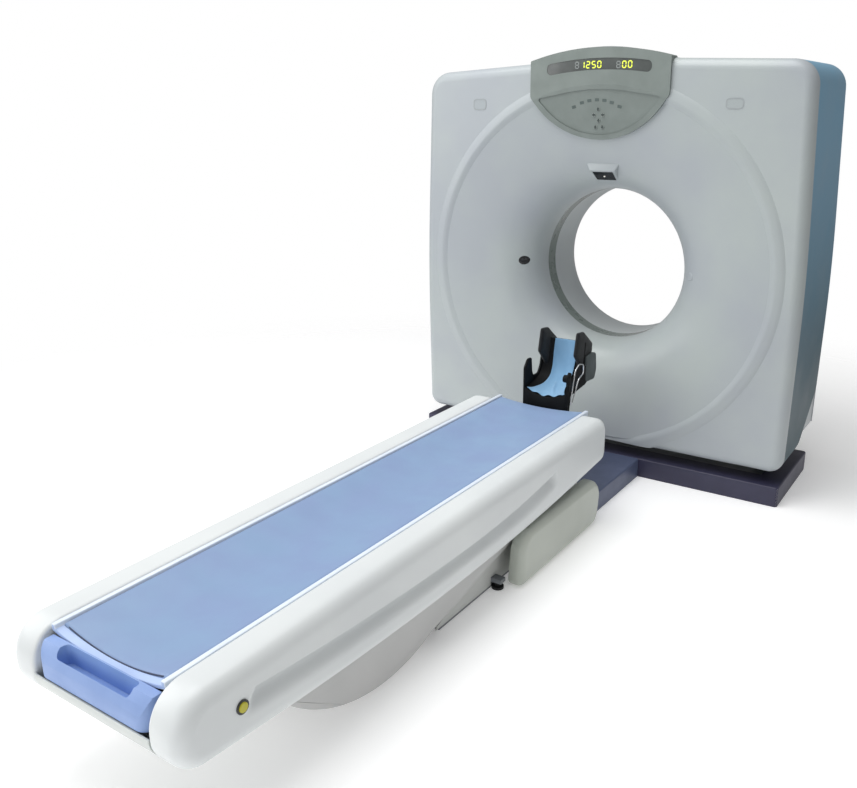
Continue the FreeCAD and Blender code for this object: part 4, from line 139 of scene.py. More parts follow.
def linear(colour):
    """Turns an sRGB hex colour into Blender's linear one, with full opacity; a setting's colour is linear already."""
    if not isinstance(colour, str):
        return tuple(colour)
    parts = np.array([int(colour[i:i + 2], 16) for i in (1, 3, 5)]) / 255.0
    parts = np.where(parts <= 0.04045, parts / 12.92, ((parts + 0.055) / 1.055) ** 2.4)
    return (*parts.tolist(), 1.0)


def per_metre(size_mm):
    """Texture scale at which one pattern cell is size_mm across."""
    return 1000.0 / size_mm


def add(tree, kind, values=None, links=None, **settings):
    """Adds a node with its settings, its sockets' own values and its links."""
    node = tree.nodes.new(kind)
    for key, value in settings.items():
        setattr(node, key, value)
    for key, value in (values or {}).items():
        node.inputs[key].default_value = value
    for key, source in (links or {}).items():
        tree.links.new(source, node.inputs[key])
    return node


def start_material(name, values):
    """A material with a Principled shader that holds the constant values, and its Object coordinates."""
    material = bpy.data.materials.new(name)
    material.use_nodes = True
    tree = material.node_tree
    tree.nodes.clear()
    shader = add(tree, "ShaderNodeBsdfPrincipled", values)
    add(tree, "ShaderNodeOutputMaterial", links={"Surface": shader.outputs[0]})
    place = add(tree, "ShaderNodeTexCoord").outputs["Object"]
    return material, tree, shader, place


def lay_surface(tree, shader, colour, wander, roughness, relief, bump, span=(0.3, 0.7)):
    """Links what a surface shows: its colour, a roughness that runs over its range while wander runs over its span, and
    a bump of the relief, given as its strength and its height in millimetres."""
    rough = add(tree, "ShaderNodeMapRange", {"From Min": span[0], "From Max": span[1], "To Min": roughness[0],
                                             "To Max": roughness[1]}, {"Value": wander})
    raised = add(tree, "ShaderNodeBump", {"Strength": bump[0], "Distance": bump[1] / 1000.0}, {"Height": relief})
    for socket, source in (("Base Color", colour), ("Roughness", rough.outputs[0]), ("Normal", raised.outputs[0])):
        tree.links.new(source, shader.inputs[socket])


def finish(name, tone, shade, patch_mm, grain_mm, height_mm, roughness, wander, values=None):
    """Two close tones in soft patches, a grain in the bump and a roughness that wanders with the patches."""
    material, tree, shader, place = start_material(name, values)
    patches = add(tree, "ShaderNodeTexNoise", {"Scale": per_metre(patch_mm), "Detail": 4.0}, {"Vector": place})
    spread = add(tree, "ShaderNodeMapRange", {"From Min": 0.36, "From Max": 0.64}, {"Value": patches.outputs["Fac"]})
    colour = add(tree, "ShaderNodeMix", {6: linear(tone), 7: linear(shade)}, {0: spread.outputs[0]}, data_type="RGBA")
    grain = add(tree, "ShaderNodeTexNoise", {"Scale": per_metre(grain_mm), "Detail": 2.0}, {"Vector": place})
    lay_surface(tree, shader, colour.outputs[2], patches.outputs["Fac"], (roughness - wander, roughness + wander),
                grain.outputs["Fac"], (1.0, height_mm))
    return material


def moulded_polyurethane(name, tone, shade):
    """Painted rigid foam moulding of the covers: satin, with the faint waviness of a big moulded panel."""
    return finish(name, tone, shade, 420.0, 24.0, 0.05, 0.40, 0.05,
                  {"IOR": 1.48, "Coat Weight": 0.12, "Coat Roughness": 0.2})


def powder_coated_steel(name, tone, shade):
    """Powder-coated sheet: fine orange peel, drawn at 4 mm so that it shows, over an even satin colour."""
    return finish(name, tone, shade, 160.0, 4.0, 0.06, 0.45, 0.07, {"IOR": 1.5})


def injection_moulded_abs(name, tone, shade):
    """ABS moulding with a spark-eroded texture, drawn at 3 mm so that it shows."""
    return finish(name, tone, shade, 90.0, 3.0, 0.05, 0.5, 0.06, {"IOR": 1.53})


def tinted_acrylic(name, tone, shade, roughness):
    """Tinted pane over a dark cavity: glossy, with a faint cloudiness."""
    return finish(name, tone, shade, 60.0, 40.0, 0.02, roughness, 0.04,
                  {"IOR": 1.49, "Coat Weight": 0.6, "Coat Roughness": 0.06})


def lit_segment(name, tone, shade, power):
    """Display segment behind its window, which glows evenly with the given power; the same glow makes the painted glint
    on the top light's window.
    """
    return finish(name, tone, shade, 9.0, 3.0, 0.02, 0.4, 0.05,
                  {"Emission Color": linear(tone), "Emission Strength": power})


def panel_with_painted_reflection(name, top, foot, low, high):
    """Side panel in blue-grey paint whose tone slides from a dark foot to a light top between two heights: painted
    reflection and shade, as its reflections of a pale floor would look, with faint broad patches and a fine orange
    peel, drawn at 5 mm."""
    material, tree, shader, place = start_material(name, {"IOR": 1.48, "Specular IOR Level": 0.25})
    height = add(tree, "ShaderNodeSeparateXYZ", links={0: place}).outputs["Z"]
    run = add(tree, "ShaderNodeMapRange", {"From Min": low, "From Max": high}, {"Value": height},
              interpolation_type="SMOOTHSTEP")
    base = add(tree, "ShaderNodeMix", {6: linear(foot), 7: linear(top)}, {0: run.outputs[0]}, data_type="RGBA")
    patches = add(tree, "ShaderNodeTexNoise", {"Scale": per_metre(300.0), "Detail": 4.0}, {"Vector": place})
    shade = add(tree, "ShaderNodeMapRange", {"From Min": 0.3, "From Max": 0.7, "To Min": 0.94, "To Max": 1.04},
                {"Value": patches.outputs["Fac"]})
    colour = add(tree, "ShaderNodeVectorMath", {}, {0: base.outputs[2], "Scale": shade.outputs[0]}, operation="SCALE")
    grain = add(tree, "ShaderNodeTexNoise", {"Scale": per_metre(5.0), "Detail": 2.0}, {"Vector": place})
    lay_surface(tree, shader, colour.outputs[0], patches.outputs["Fac"], (0.34, 0.46), grain.outputs["Fac"],
                (1.0, 0.05))
    return material


def machined_metal(name, tone, shade, groove_mm, stretch):
    """Turned or milled metal: fine cutting marks, drawn groove_mm apart and out along one direction."""
    material, tree, shader, place = start_material(name, {"Metallic": 1.0})
    drawn = add(tree, "ShaderNodeMapping", {"Scale": stretch}, {"Vector": place})
    marks = add(tree, "ShaderNodeTexNoise", {"Scale": per_metre(groove_mm), "Detail": 3.0},
                {"Vector": drawn.outputs[0]}).outputs["Fac"]
    colour = add(tree, "ShaderNodeMix", {6: linear(tone), 7: linear(shade)}, {0: marks}, data_type="RGBA")
    lay_surface(tree, shader, colour.outputs[2], marks, (0.24, 0.42), marks, (1.0, 0.04))
    return material


def vinyl(name, tone, shade):
    """Coated mattress fabric: fine leather-like cells, drawn at 5 mm, and a soft sheen with faint rubbed patches."""
    material, tree, shader, place = start_material(
        name, {"IOR": 1.5, "Sheen Weight": 0.08, "Sheen Roughness": 0.5, "Coat Weight": 0.05, "Coat Roughness": 0.4})
    cells = add(tree, "ShaderNodeTexVoronoi", {"Scale": per_metre(5.0)}, {"Vector": place}, feature="DISTANCE_TO_EDGE")
    patches = add(tree, "ShaderNodeTexNoise", {"Scale": per_metre(140.0), "Detail": 5.0}, {"Vector": place})
    spread = add(tree, "ShaderNodeMapRange", {"From Min": 0.35, "From Max": 0.65}, {"Value": patches.outputs["Fac"]})
    colour = add(tree, "ShaderNodeMix", {6: linear(tone), 7: linear(shade)}, {0: spread.outputs[0]}, data_type="RGBA")
    lay_surface(tree, shader, colour.outputs[2], patches.outputs["Fac"], (0.42, 0.58), cells.outputs["Distance"],
                (0.6, 0.25))
    return material


def covered_foam(name, tone, shade):
    """Closed-cell foam in a thin dark skin: small pores, drawn at 3 mm, on soft uneven patches."""
    material, tree, shader, place = start_material(name, {"IOR": 1.45, "Sheen Weight": 0.15, "Sheen Roughness": 0.4})
    pores = add(tree, "ShaderNodeTexVoronoi", {"Scale": per_metre(3.0)}, {"Vector": place})
    patches = add(tree, "ShaderNodeTexNoise", {"Scale": per_metre(30.0), "Detail": 4.0},
                  {"Vector": place}).outputs["Fac"]
    colour = add(tree, "ShaderNodeMix", {6: linear(tone), 7: linear(shade)}, {0: patches}, data_type="RGBA")
    lay_surface(tree, shader, colour.outputs[2], patches, (0.62, 0.78), pores.outputs["Distance"], (0.8, 0.4))
    return material


def woven_cotton(name, tone, shade, thread_mm):
    """Plain-weave cotton on the sheet's own UV in metres: threads over and under each other, drawn at thread_mm."""
    material, tree, shader, place = start_material(name, {"IOR": 1.45, "Sheen Weight": 0.3, "Sheen Roughness": 0.5})
    axes = add(tree, "ShaderNodeSeparateXYZ", links={0: add(tree, "ShaderNodeTexCoord").outputs["UV"]})
    waves = []
    for axis in ("X", "Y"):
        turn = add(tree, "ShaderNodeMath", {1: math.pi * per_metre(thread_mm)}, {0: axes.outputs[axis]},
                   operation="MULTIPLY")
        waves.append(add(tree, "ShaderNodeMath", {}, {0: turn.outputs[0]}, operation="SINE").outputs[0])
    weave = add(tree, "ShaderNodeMath", {}, {0: waves[0], 1: waves[1]}, operation="MULTIPLY")
    patches = add(tree, "ShaderNodeTexNoise", {"Scale": per_metre(35.0), "Detail": 4.0},
                  {"Vector": place}).outputs["Fac"]
    colour = add(tree, "ShaderNodeMix", {6: linear(tone), 7: linear(shade)}, {0: patches}, data_type="RGBA")
    lay_surface(tree, shader, colour.outputs[2], patches, (0.75, 0.9), weave.outputs[0], (0.5, 0.3))
    return material


def ringed_disc(name, tone, track, pitch_mm):
    """Insulating disc with turned metal tracks: rings about the spin axis, one every pitch_mm."""
    material, tree, shader, place = start_material(name, {"IOR": 1.5})
    centred = add(tree, "ShaderNodeMapping", {"Location": (0.0, 0.0, -ISO), "Scale": (1.0, 0.0, 1.0)},
                  {"Vector": place})
    radius = add(tree, "ShaderNodeVectorMath", {}, {0: centred.outputs[0]}, operation="LENGTH")
    turn = add(tree, "ShaderNodeMath", {1: 2 * math.pi * per_metre(pitch_mm)}, {0: radius.outputs["Value"]},
               operation="MULTIPLY")
    wave = add(tree, "ShaderNodeMath", {}, {0: turn.outputs[0]}, operation="SINE")
    on_track = add(tree, "ShaderNodeMapRange", {"From Min": -0.2, "From Max": 0.2},
                   {"Value": wave.outputs[0]}).outputs[0]
    colour = add(tree, "ShaderNodeMix", {6: linear(tone), 7: linear(track)}, {0: on_track}, data_type="RGBA")
    tree.links.new(on_track, shader.inputs["Metallic"])
    lay_surface(tree, shader, colour.outputs[2], on_track, (0.55, 0.3), on_track, (0.5, 0.4), span=(0.0, 1.0))
    return material


# ---- shapes from numpy: each is a pair of points (n, 3) and faces


def unit_circle(count):
    """Points (n, 2) at even angles on a circle of radius 1."""
    angle = np.linspace(0.0, 2 * math.pi, count, endpoint=False)
    return np.stack([np.cos(angle), np.sin(angle)], axis=1)


def turned(flat, angle):
    """Points (n, 2) turned about the origin by an angle in radians."""
    c, s = math.cos(angle), math.sin(angle)
    return flat @ np.array([[c, s], [-s, c]])


def smoothstep(value):
    """Rises smoothly from 0 to 1 while value does."""
    t = np.clip(value, 0.0, 1.0)
    return t * t * (3.0 - 2.0 * t)


def mirror_x(points):
    """The same points on the other side of the middle plane."""
    return points * np.array([-1.0, 1.0, 1.0])


def grid_faces(rows, columns, wrap_rows=False, wrap_columns=False):
    """Quads between neighbours of a rows by columns grid; a wrapped direction joins its last line to its first."""
    down = np.arange(rows if wrap_rows else rows - 1)
    across = np.arange(columns if wrap_columns else columns - 1)
    a, b = (part.ravel() for part in np.meshgrid(down, across, indexing="ij"))
    next_a, next_b = (a + 1) % rows, (b + 1) % columns
    return np.stack([a * columns + b, a * columns + next_b, next_a * columns + next_b, next_a * columns + b], axis=1)


def border_loop(rows, columns):
    """Indices of a grid's border points, in order round it."""
    index = np.arange(rows * columns).reshape(rows, columns)
    return np.concatenate([index[0], index[1:-1, -1], index[-1, ::-1], index[1:-1, 0][::-1]])


def extruded(outline, shift):
    """Closed prism of an outline of points (n, 3): its walls run along shift, and each end is one face."""
    count = len(outline)
    ring = np.arange(count)
    walls = np.stack([ring, (ring + 1) % count, (ring + 1) % count + count, ring + count], axis=1)
    return np.concatenate([outline, outline + shift]), [*walls.tolist(), ring[::-1].tolist(), (ring + count).tolist()]


def prism(outline, axis, start, depth):
    """Closed prism of an outline (n, 2): it lies where the axis (0 x, 1 y, 2 z) has the value start, and its walls run
    depth along that axis."""
    return extruded(np.insert(outline, axis, start, axis=1), depth * np.eye(3)[axis])


def joined(shapes):
    """Joins several shapes into one."""
    starts = np.cumsum([0] + [len(points) for points, _ in shapes[:-1]])
    faces = [[corner + start for corner in face] for start, (_, group) in zip(starts, shapes) for face in group]
    return np.concatenate([points for points, _ in shapes]), faces


def shell_between(top, bottom):
    """Closed shell of two grids of the same shape, joined round their borders."""
    rows, columns = top.shape[:2]
    size, loop, grid = rows * columns, border_loop(rows, columns), grid_faces(rows, columns)
    wall = np.stack([loop, np.roll(loop, -1), np.roll(loop, -1) + size, loop + size], axis=1)
    points = np.concatenate([top.reshape(-1, 3), bottom.reshape(-1, 3)])
    return points, np.concatenate([grid, grid[:, ::-1] + size, wall])


def rounded_rectangle(half_width, half_height, radius, steps=6):
    """Outline (n, 2) of a rectangle with quarter-circle corners."""
    angles = np.linspace(0.0, math.pi / 2, steps)
    quarter = np.stack([np.cos(angles), np.sin(angles)], axis=1) * radius
    middles = np.array([(1, 1), (-1, 1), (-1, -1), (1, -1)]) * np.array([half_width - radius, half_height - radius])
    return np.concatenate([turned(quarter, turn * math.pi / 2) + middle for turn, middle in enumerate(middles)])


def rounded_profile(corners, steps=12):
    """Outline (n, 2) and its outward normals through anticlockwise (y, z, radius) corners, an arc at each one."""
    count = len(corners)
    points, normals = [], []
    for index in range(count):
        before, here, after = (np.array(corners[(index + shift) % count][:2], dtype=float) for shift in (-1, 0, 1))
        radius = corners[index][2]
        arrive = (here - before) / np.linalg.norm(here - before)
        leave = (after - here) / np.linalg.norm(after - here)
        turn = math.atan2(arrive[0] * leave[1] - arrive[1] * leave[0], float(arrive @ leave))
        out = np.array([arrive[1], -arrive[0]])
        centre = here - arrive * radius * math.tan(turn / 2) - out * radius
        angles = np.linspace(0.0, turn, steps)
        facing = np.stack([np.cos(angles), np.sin(angles)], axis=1) @ np.array([out, (-out[1], out[0])])
        points.append(centre + radius * facing)
        normals.append(facing)
    return np.concatenate(points), np.concatenate(normals)


def smooth_outline(corners, radius, steps=5):
    """Outline through corners, each cut by a quadratic curve that starts and ends radius away from it."""
    corners = np.asarray(corners)
    before, after = np.roll(corners, 1, axis=0) - corners, np.roll(corners, -1, axis=0) - corners
    start = corners + radius * before / np.linalg.norm(before, axis=1, keepdims=True)
    end = corners + radius * after / np.linalg.norm(after, axis=1, keepdims=True)
    t = np.linspace(0.0, 1.0, steps)[None, :, None]
    curve = (1 - t) ** 2 * start[:, None] + 2 * t * (1 - t) * corners[:, None] + t ** 2 * end[:, None]
    return curve.reshape(-1, 2)


def rim_rings(points, normals, x_outer, rim, x_inner, soft):
    """Rings (k, n, 3) from the inset outer face round the rim, along the side and over a small inner rounding: quarter
    circles of the radii rim and soft."""
    rings = []
    for angle in np.linspace(0.0, math.pi / 2, 8):
        flat = points - normals * rim * (1.0 - math.sin(angle))
        rings.append(np.insert(flat, 0, x_outer - rim * (1.0 - math.cos(angle)), axis=1))
    for angle in np.linspace(0.0, math.pi / 2, 4):
        flat = points - normals * soft * (1.0 - math.cos(angle))
        rings.append(np.insert(flat, 0, x_inner + soft * (1.0 - math.sin(angle)), axis=1))
    return np.stack(rings)


def rimmed_block(points, normals, x_outer, rim, x_inner, soft=0.004):
    """Block of a side outline with a big rounded rim outside, a small one inside and a flat face at each end."""
    rings = rim_rings(points, normals, x_outer, rim, x_inner, soft)
    ring = np.arange(len(points))
    faces = grid_faces(len(rings), len(points), False, True).tolist()
    return rings.reshape(-1, 3), [*faces, ring.tolist(), (ring + (len(rings) - 1) * len(points))[::-1].tolist()]


def tube_along(path, radius, sides=10, side=None):
    """Closed tube: circles of the radius stand square to a closed path's direction at each of its points; a flat path
    gives its plane's normal as side."""
    ahead = np.roll(path, -1, axis=0) - np.roll(path, 1, axis=0)
    ahead /= np.linalg.norm(ahead, axis=1, keepdims=True)
    if side is None:
        side = np.cross(ahead, np.array([0.0, 0.0, 1.0]))
        side /= np.linalg.norm(side, axis=1, keepdims=True)
    side = np.broadcast_to(np.asarray(side, dtype=float), ahead.shape)
    axes = np.stack([side, np.cross(side, ahead)], axis=1)
    points = path[:, None, :] + radius * (unit_circle(sides) @ axes)
    return points.reshape(-1, 3), grid_faces(len(path), sides, True, True)


def foam_block(outline, x_middle, half_thickness, rings=12):
    """Crowned block: rings shrink the (y, z) outline towards its middle, and x falls off as a flat-topped dome,
    half_thickness * (1 - r ** 5) ** (1 / 3), to the seam at r = 1; the two sides share that seam."""
    centre = outline.mean(axis=0)
    share = np.sin(np.linspace(0.0, math.pi / 2, rings))
    flat = centre + share[:, None, None] * (outline - centre)[None, :, :]
    depth = np.broadcast_to((half_thickness * (1.0 - share ** 5) ** (1.0 / 3.0))[:, None], flat.shape[:2])
    sides = [np.stack([x_middle + sign * depth, flat[..., 0], flat[..., 1]], axis=-1).reshape(-1, 3)
             for sign in (1, -1)]
    grid = grid_faces(rings, len(outline), False, True)
    return np.concatenate(sides), np.concatenate([grid, grid[:, ::-1] + len(sides[0])])


def dish_depth(radius):
    """Depth y of the dish at a radius about the isocentre: its cubic profile curve, read off by interpolation."""
    t = np.linspace(0.0, 1.0, 400)[:, None]
    weights = np.concatenate([(1 - t) ** 3, 3 * t * (1 - t) ** 2, 3 * t * t * (1 - t), t ** 3], axis=1)
    curve = weights @ DISH_POLES
    return np.interp(radius, curve[:, 0], curve[:, 1])


# ---- making and finishing pieces


def new_piece(name, shape, materials, body, slot, smooth=True, close=0.0):
    """Makes the mesh object of a piece, closes its seams and poles, and lets it ride on its body."""
    points, faces = shape
    mesh = bpy.data.meshes.new(name)
    mesh.from_pydata(np.asarray(points, dtype=float).tolist(), [], [list(map(int, face)) for face in faces])
    if close > 0.0:
        work = bmesh.new()
        work.from_mesh(mesh)
        bmesh.ops.remove_doubles(work, verts=work.verts, dist=close)
        bmesh.ops.dissolve_degenerate(work, edges=work.edges, dist=close)
        bmesh.ops.recalc_face_normals(work, faces=work.faces)
        work.to_mesh(mesh)
        work.free()
    for material in materials:
        mesh.materials.append(material)
    mesh.polygons.foreach_set("use_smooth", np.full(len(mesh.polygons), smooth))
    mesh.update()
    piece = bpy.data.objects.new(name, mesh)
    bpy.context.scene.collection.objects.link(piece)
    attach(piece, body)
    return piece


def hard_piece(name, shape, materials, body, slot, close=1e-6):
    """Makes a piece with flat faces and sharp edges."""
    return new_piece(name, shape, materials, body, slot, smooth=False, close=close)


def second_material(piece, chosen):
    """Gives a piece's second material to the faces that chosen picks by their centres (n, 3)."""
    centres = np.empty(len(piece.data.polygons) * 3)
    piece.data.polygons.foreach_get("center", centres)
    piece.data.polygons.foreach_set("material_index", chosen(centres.reshape(-1, 3)).astype(int))


def apply_modifiers(piece):
    """Puts the result of a piece's modifiers into its mesh."""
    bpy.context.view_layer.update()
    seen = piece.evaluated_get(bpy.context.evaluated_depsgraph_get())
    mesh = bpy.data.meshes.new_from_object(seen)
    piece.modifiers.clear()
    piece.data = mesh


def carve(piece, cutter, operation="DIFFERENCE"):
    """Cuts a piece with the cutter's shape and deletes the cutter."""
    cut = piece.modifiers.new("Cut", "BOOLEAN")
    cut.object, cut.operation, cut.solver = cutter, operation, "EXACT"
    apply_modifiers(piece)
    bpy.data.objects.remove(cutter, do_unlink=True)


def soften(piece, width, segments=3, angle=30.0):
    """Rounds the sharp edges of a piece and shades it smooth."""
    bevel = piece.modifiers.new("Edges", "BEVEL")
    bevel.width, bevel.segments, bevel.limit_method, bevel.angle_limit = width, segments, "ANGLE", math.radians(angle)
    bevel.harden_normals = False
    apply_modifiers(piece)
    piece.data.polygons.foreach_set("use_smooth", np.full(len(piece.data.polygons), True))
    piece.data.update()


def dress(finishes):
    """Gives each named CAD node its material, in every slot that it has."""
    for material, names in finishes:
        for name in names:
            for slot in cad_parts[name].material_slots:
                slot.material = material


# ---- settings a user would change


def length_setting(name, description, default):
    """A length that shows in the sidebar."""
    return bpy.props.FloatProperty(name=name, description=description, default=default, unit="LENGTH")


def colour_setting(name, description, code):
    """A colour that shows in the sidebar, with an sRGB hex colour as its default."""
    return bpy.props.FloatVectorProperty(name=name, description=description, default=linear(code), subtype="COLOR",
                                         size=4, min=0.0, max=1.0)


class ScannerColours(bpy.types.PropertyGroup):
    """Main tones of the paints and fabrics."""

    front: colour_setting("Front cover", "Paint of the front cover", "#B0B8B7")
    rail: colour_setting("Table rails", "Paint of the table's side rails", "#E0E4E4")
    mattress: colour_setting("Mattress", "Vinyl on the mattress", "#86A1C4")
    cloth: colour_setting("Head cloth", "Cotton of the cloth in the head holder", "#86B2D4")


class ScannerMattressSizes(bpy.types.PropertyGroup):
    """Sizes of the mattress on the cradle."""

    edge_radius: length_setting("Edge radius", "Radius of the mattress's rounded edge", 0.008)
    sag: length_setting("Sag", "How far the middle of the trough lies below its edges", 0.030)
    crown: length_setting("Crown", "How far the foam swells above a flat top", 0.003)
    head_fill: length_setting("Head fill", "How far the foam fills the trough at the head end", 0.016)
    piping: length_setting("Piping", "Radius of the piping round the edge", 0.0024)


class ScannerReadoutSizes(bpy.types.PropertyGroup):
    """Sizes of the lit numbers on the console."""

    digit_height: length_setting("Digit height", "Height of a lit number", 0.029)
    digit_width: length_setting("Digit width", "Width of a lit number", 0.019)
    bar: length_setting("Bar width", "Width of one segment", 0.0042)


# ---- finishing the CAD nodes


class SCANNER_OT_dress_covers(bpy.types.Operator):
    """Paint the gantry covers, the console and the floor covers."""

    bl_idname = "scanner.dress_covers"
    bl_label = "Paint the Covers"

    def execute(self, context):
        dress([
            (moulded_polyurethane("cover_satin_white", context.scene.scanner_colours.front, "#A9AFB4"),
             ["front_cover"]),
            (moulded_polyurethane("rear_satin_white", "#C2C8C9", "#BBC0C3"), ["rear_cover"]),
            # The side covers' dark foot and light top are painted reflection and shade.
            (panel_with_painted_reflection("side_blue_grey_with_painted_reflection", "#72A2BE", "#2C4A54", 0.25, 1.6),
             ["side_cover_right", "side_cover_left"]),
            (injection_moulded_abs("console_grey_green_abs", "#7F8884", "#78817D"), ["console_housing"]),
            (tinted_acrylic("readout_window_acrylic", "#4A4E4D", "#565B59", 0.22), ["display_window"]),
            (tinted_acrylic("scan_window_polycarbonate", "#5B6A66", "#66746F", 0.28), ["bore_window"]),
            (injection_moulded_abs("key_cap_silicone", "#8C9490", "#858D89"), list(KEY_PLACES)),
            (powder_coated_steel("base_violet_powder_coat", "#32314A", "#2D2C44"), ["base_cover"]),
            (powder_coated_steel("bridge_blue_powder_coat", "#525B77", "#4B546E"), ["bridge_cover"]),
            (moulded_polyurethane("base_panel_grey", "#D2D4D1", "#CACCC9"), ["base_inner_panels"]),
        ])
        return {"FINISHED"}


class SCANNER_OT_dress_machinery(bpy.types.Operator):
    """Finish the rotor, the tilt drive, the lift and the frames."""

    bl_idname = "scanner.dress_machinery"
    bl_label = "Finish the Machinery"

    def execute(self, context):
        dress([
            (powder_coated_steel("frame_grey_primer", "#7A7E82", "#70747A"),
             ["tilt_frame", "stanchion_left", "stanchion_right", "base_frame", "table_base", "lift_arm",
              "parallel_link", "table_frame"]),
            (machined_metal("ground_bearing_steel", "#B9BCBF", "#9DA1A5", 6.0, (1.0, 12.0, 1.0)),
             ["bearing_race", "sector_gear", "tilt_pinion", "drive_pulley", "ram_rods"]),
            (machined_metal("cast_aluminium", "#B4B6B8", "#9EA1A4", 9.0, (1.0, 1.0, 1.0)),
             ["rotor_drum", "heat_exchanger"]),
            (powder_coated_steel("motor_dark_enamel", "#3A3F46", "#33383E"),
             ["spin_motor", "tilt_motor", "lift_rams"]),
            (powder_coated_steel("tube_cream_enamel", "#CFC9B4", "#C4BEA8"), ["xray_tube"]),
            (powder_coated_steel("cabinet_blue_grey", "#5A6470", "#525C68"), ["detector", "voltage_tank"]),
            (finish("counterweight_cast_iron", "#56565A", "#4A4A4D", 40.0, 6.0, 0.3, 0.7, 0.06, {"IOR": 1.5}),
             ["collimator", "counterweight"]),
            (ringed_disc("slip_ring_epoxy_brass", "#5A3A22", "#B08D4A", 22.0), ["slip_ring"]),
            (machined_metal("bronze_bush", "#A7854B", "#8E6F3C", 4.0, (12.0, 1.0, 1.0)), ["trunnion_bearings"]),
            (finish("ribbed_drive_rubber", "#17171A", "#1F1F22", 12.0, 2.5, 0.3, 0.72, 0.06, {"IOR": 1.5}),
             ["drive_belt", "levelling_feet"]),
        ])
        return {"FINISHED"}


class SCANNER_OT_dress_table(bpy.types.Operator):
    """Finish the release button and the cradle's slide strips."""

    bl_idname = "scanner.dress_table"
    bl_label = "Finish the Table"

    def execute(self, context):
        dress([
            (injection_moulded_abs("release_cap_yellow", "#C3BC35", "#B9B22F"), ["release_button"]),
            (injection_moulded_abs("release_ring_dark", "#26282A", "#2D2F31"), ["button_ring"]),
            (injection_moulded_abs("slide_strip_acetal", "#D8D8D0", "#CFCFC8"), ["slide_strips"]),
        ])
        return {"FINISHED"}


# ---- the table's pieces


def groove_ridge(y):
    """Height of the ridge below the rail's groove: it rises with the cube of the distance from its lowest point."""
    return 0.253 + 0.045 * np.abs((y + 1.70) / np.where(y < -1.70, 1.08, 0.50)) ** 3


def groove_lip(y):
    """Height of the sharp upper edge of the rail's groove: two half parabolas from its lowest point."""
    return 0.314 + np.where(y < -1.80, 0.051, 0.046) * ((y + 1.80) / np.where(y < -1.80, 0.93, 0.59)) ** 2


def rail_edges(points, normals, inset, columns):
    """Heights of the outer face's lower and upper edge at each column, and how the outline faces there."""
    edges = []
    for side in (-1, 1):
        chain = (normals[:, 1] * side > -1e-9) & ((points[:, 1] - 0.333) * side > 0.0)
        order = np.argsort(inset[chain][:, 0], kind="stable")
        y, z = inset[chain][order].T
        facing = np.stack([np.interp(columns, y, lean) for lean in normals[chain][order].T], axis=1)
        edges.append((np.interp(columns, y, z), facing / np.linalg.norm(facing, axis=1, keepdims=True)))
    return edges


def rail_shape():
    """Bowed rail: a grid on the outer face that dips into the groove, then rings round the rim to the inner face."""
    points, normals = rounded_profile(RAIL_OUTLINE, 24)
    inset = points - normals * RAIL_RIM
    nose, head = inset[:, 0].min(), inset[:, 0].max()
    rounding, end_gap, groove_depth = 0.054, 0.004, 0.024
    columns = np.concatenate([nose + rounding * (1 - np.cos(np.linspace(0.0, math.pi / 2, 12)))[:-1],
                              np.linspace(nose + rounding, head - end_gap, 250), [head - end_gap / 2, head]])
    (low, low_facing), (high, high_facing) = rail_edges(points, normals, inset, columns)
    margin = 0.1 * (high - low)
    lip = np.clip(groove_lip(columns), low + 2 * margin, high - margin)
    ridge = np.clip(groove_ridge(columns), low + margin, lip - margin)
    share = np.concatenate([np.linspace(0.0, 0.8, 9), np.linspace(0.84, 1.0, 6)])
    edge = np.minimum(0.0012, 0.03 * (high - low))
    rows = np.concatenate([
        low + np.linspace(0.0, 1.0, 5)[:-1, None] * (ridge - low),
        ridge + share[:, None] * (lip - 2.5 * edge - ridge),
        lip + np.array([-1.0, 0.0, 1.0])[:, None] * edge,
        lip + edge + np.linspace(0.1, 1.0, 5)[:, None] * (high - lip - edge)])
    # The groove deepens from its ridge to its lip, and ends before the button and at a slant at the foot end.
    run = np.clip((rows - ridge) / (lip - ridge), 0.0, 1.0)
    head_gap = -1.200 - columns[None, :] - 0.012 * run
    foot_gap = columns[None, :] + 2.775 - 0.80 * np.clip(rows - 0.300, 0.0, None)
    scoop = smoothstep(run / 0.8) * (rows < lip - 0.5 * edge)
    dip = groove_depth * scoop * smoothstep(head_gap / 0.040) * smoothstep(foot_gap / 0.030)
    grid = np.stack([RAIL_OUTER - dip, np.broadcast_to(columns, rows.shape), rows], axis=-1).reshape(-1, 3)
    loop, count_z = border_loop(*rows.shape), len(rows)
    ends = np.array([[1.0, 0.0]])
    facing = np.concatenate([low_facing, np.repeat(ends, count_z - 2, 0), high_facing[::-1],
                             np.repeat(-ends, count_z - 2, 0)])
    rings = rim_rings(grid[loop][:, 1:] + facing * RAIL_RIM, facing, RAIL_OUTER, RAIL_RIM, RAIL_INNER, 0.009)[1:]
    ring = np.arange(len(loop)) + len(grid)
    first = np.stack([loop, np.roll(loop, -1), np.roll(ring, -1), ring], axis=1)
    faces = np.concatenate([grid_faces(*rows.shape), first, grid_faces(len(rings), len(loop), False, True) + len(grid)])
    cap = (ring + (len(rings) - 1) * len(loop)).tolist()
    return np.concatenate([grid, rings.reshape(-1, 3)]), [*faces.tolist(), cap]


class SCANNER_OT_rails(bpy.types.Operator):
    """Make the two bowed side rails with their long scooped grooves."""

    bl_idname = "scanner.rails"
    bl_label = "Make the Rails"

    def execute(self, context):
        paint = moulded_polyurethane("rail_satin_white", context.scene.scanner_colours.rail, "#DADEDF")
        points, faces = rail_shape()
        for name, place in (("rail_right", points), ("rail_left", mirror_x(points))):
            rail = new_piece(name, (place, faces), [paint], "table", "rail_white", close=1e-6)
            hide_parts("table_" + name)
        return {"FINISHED"}


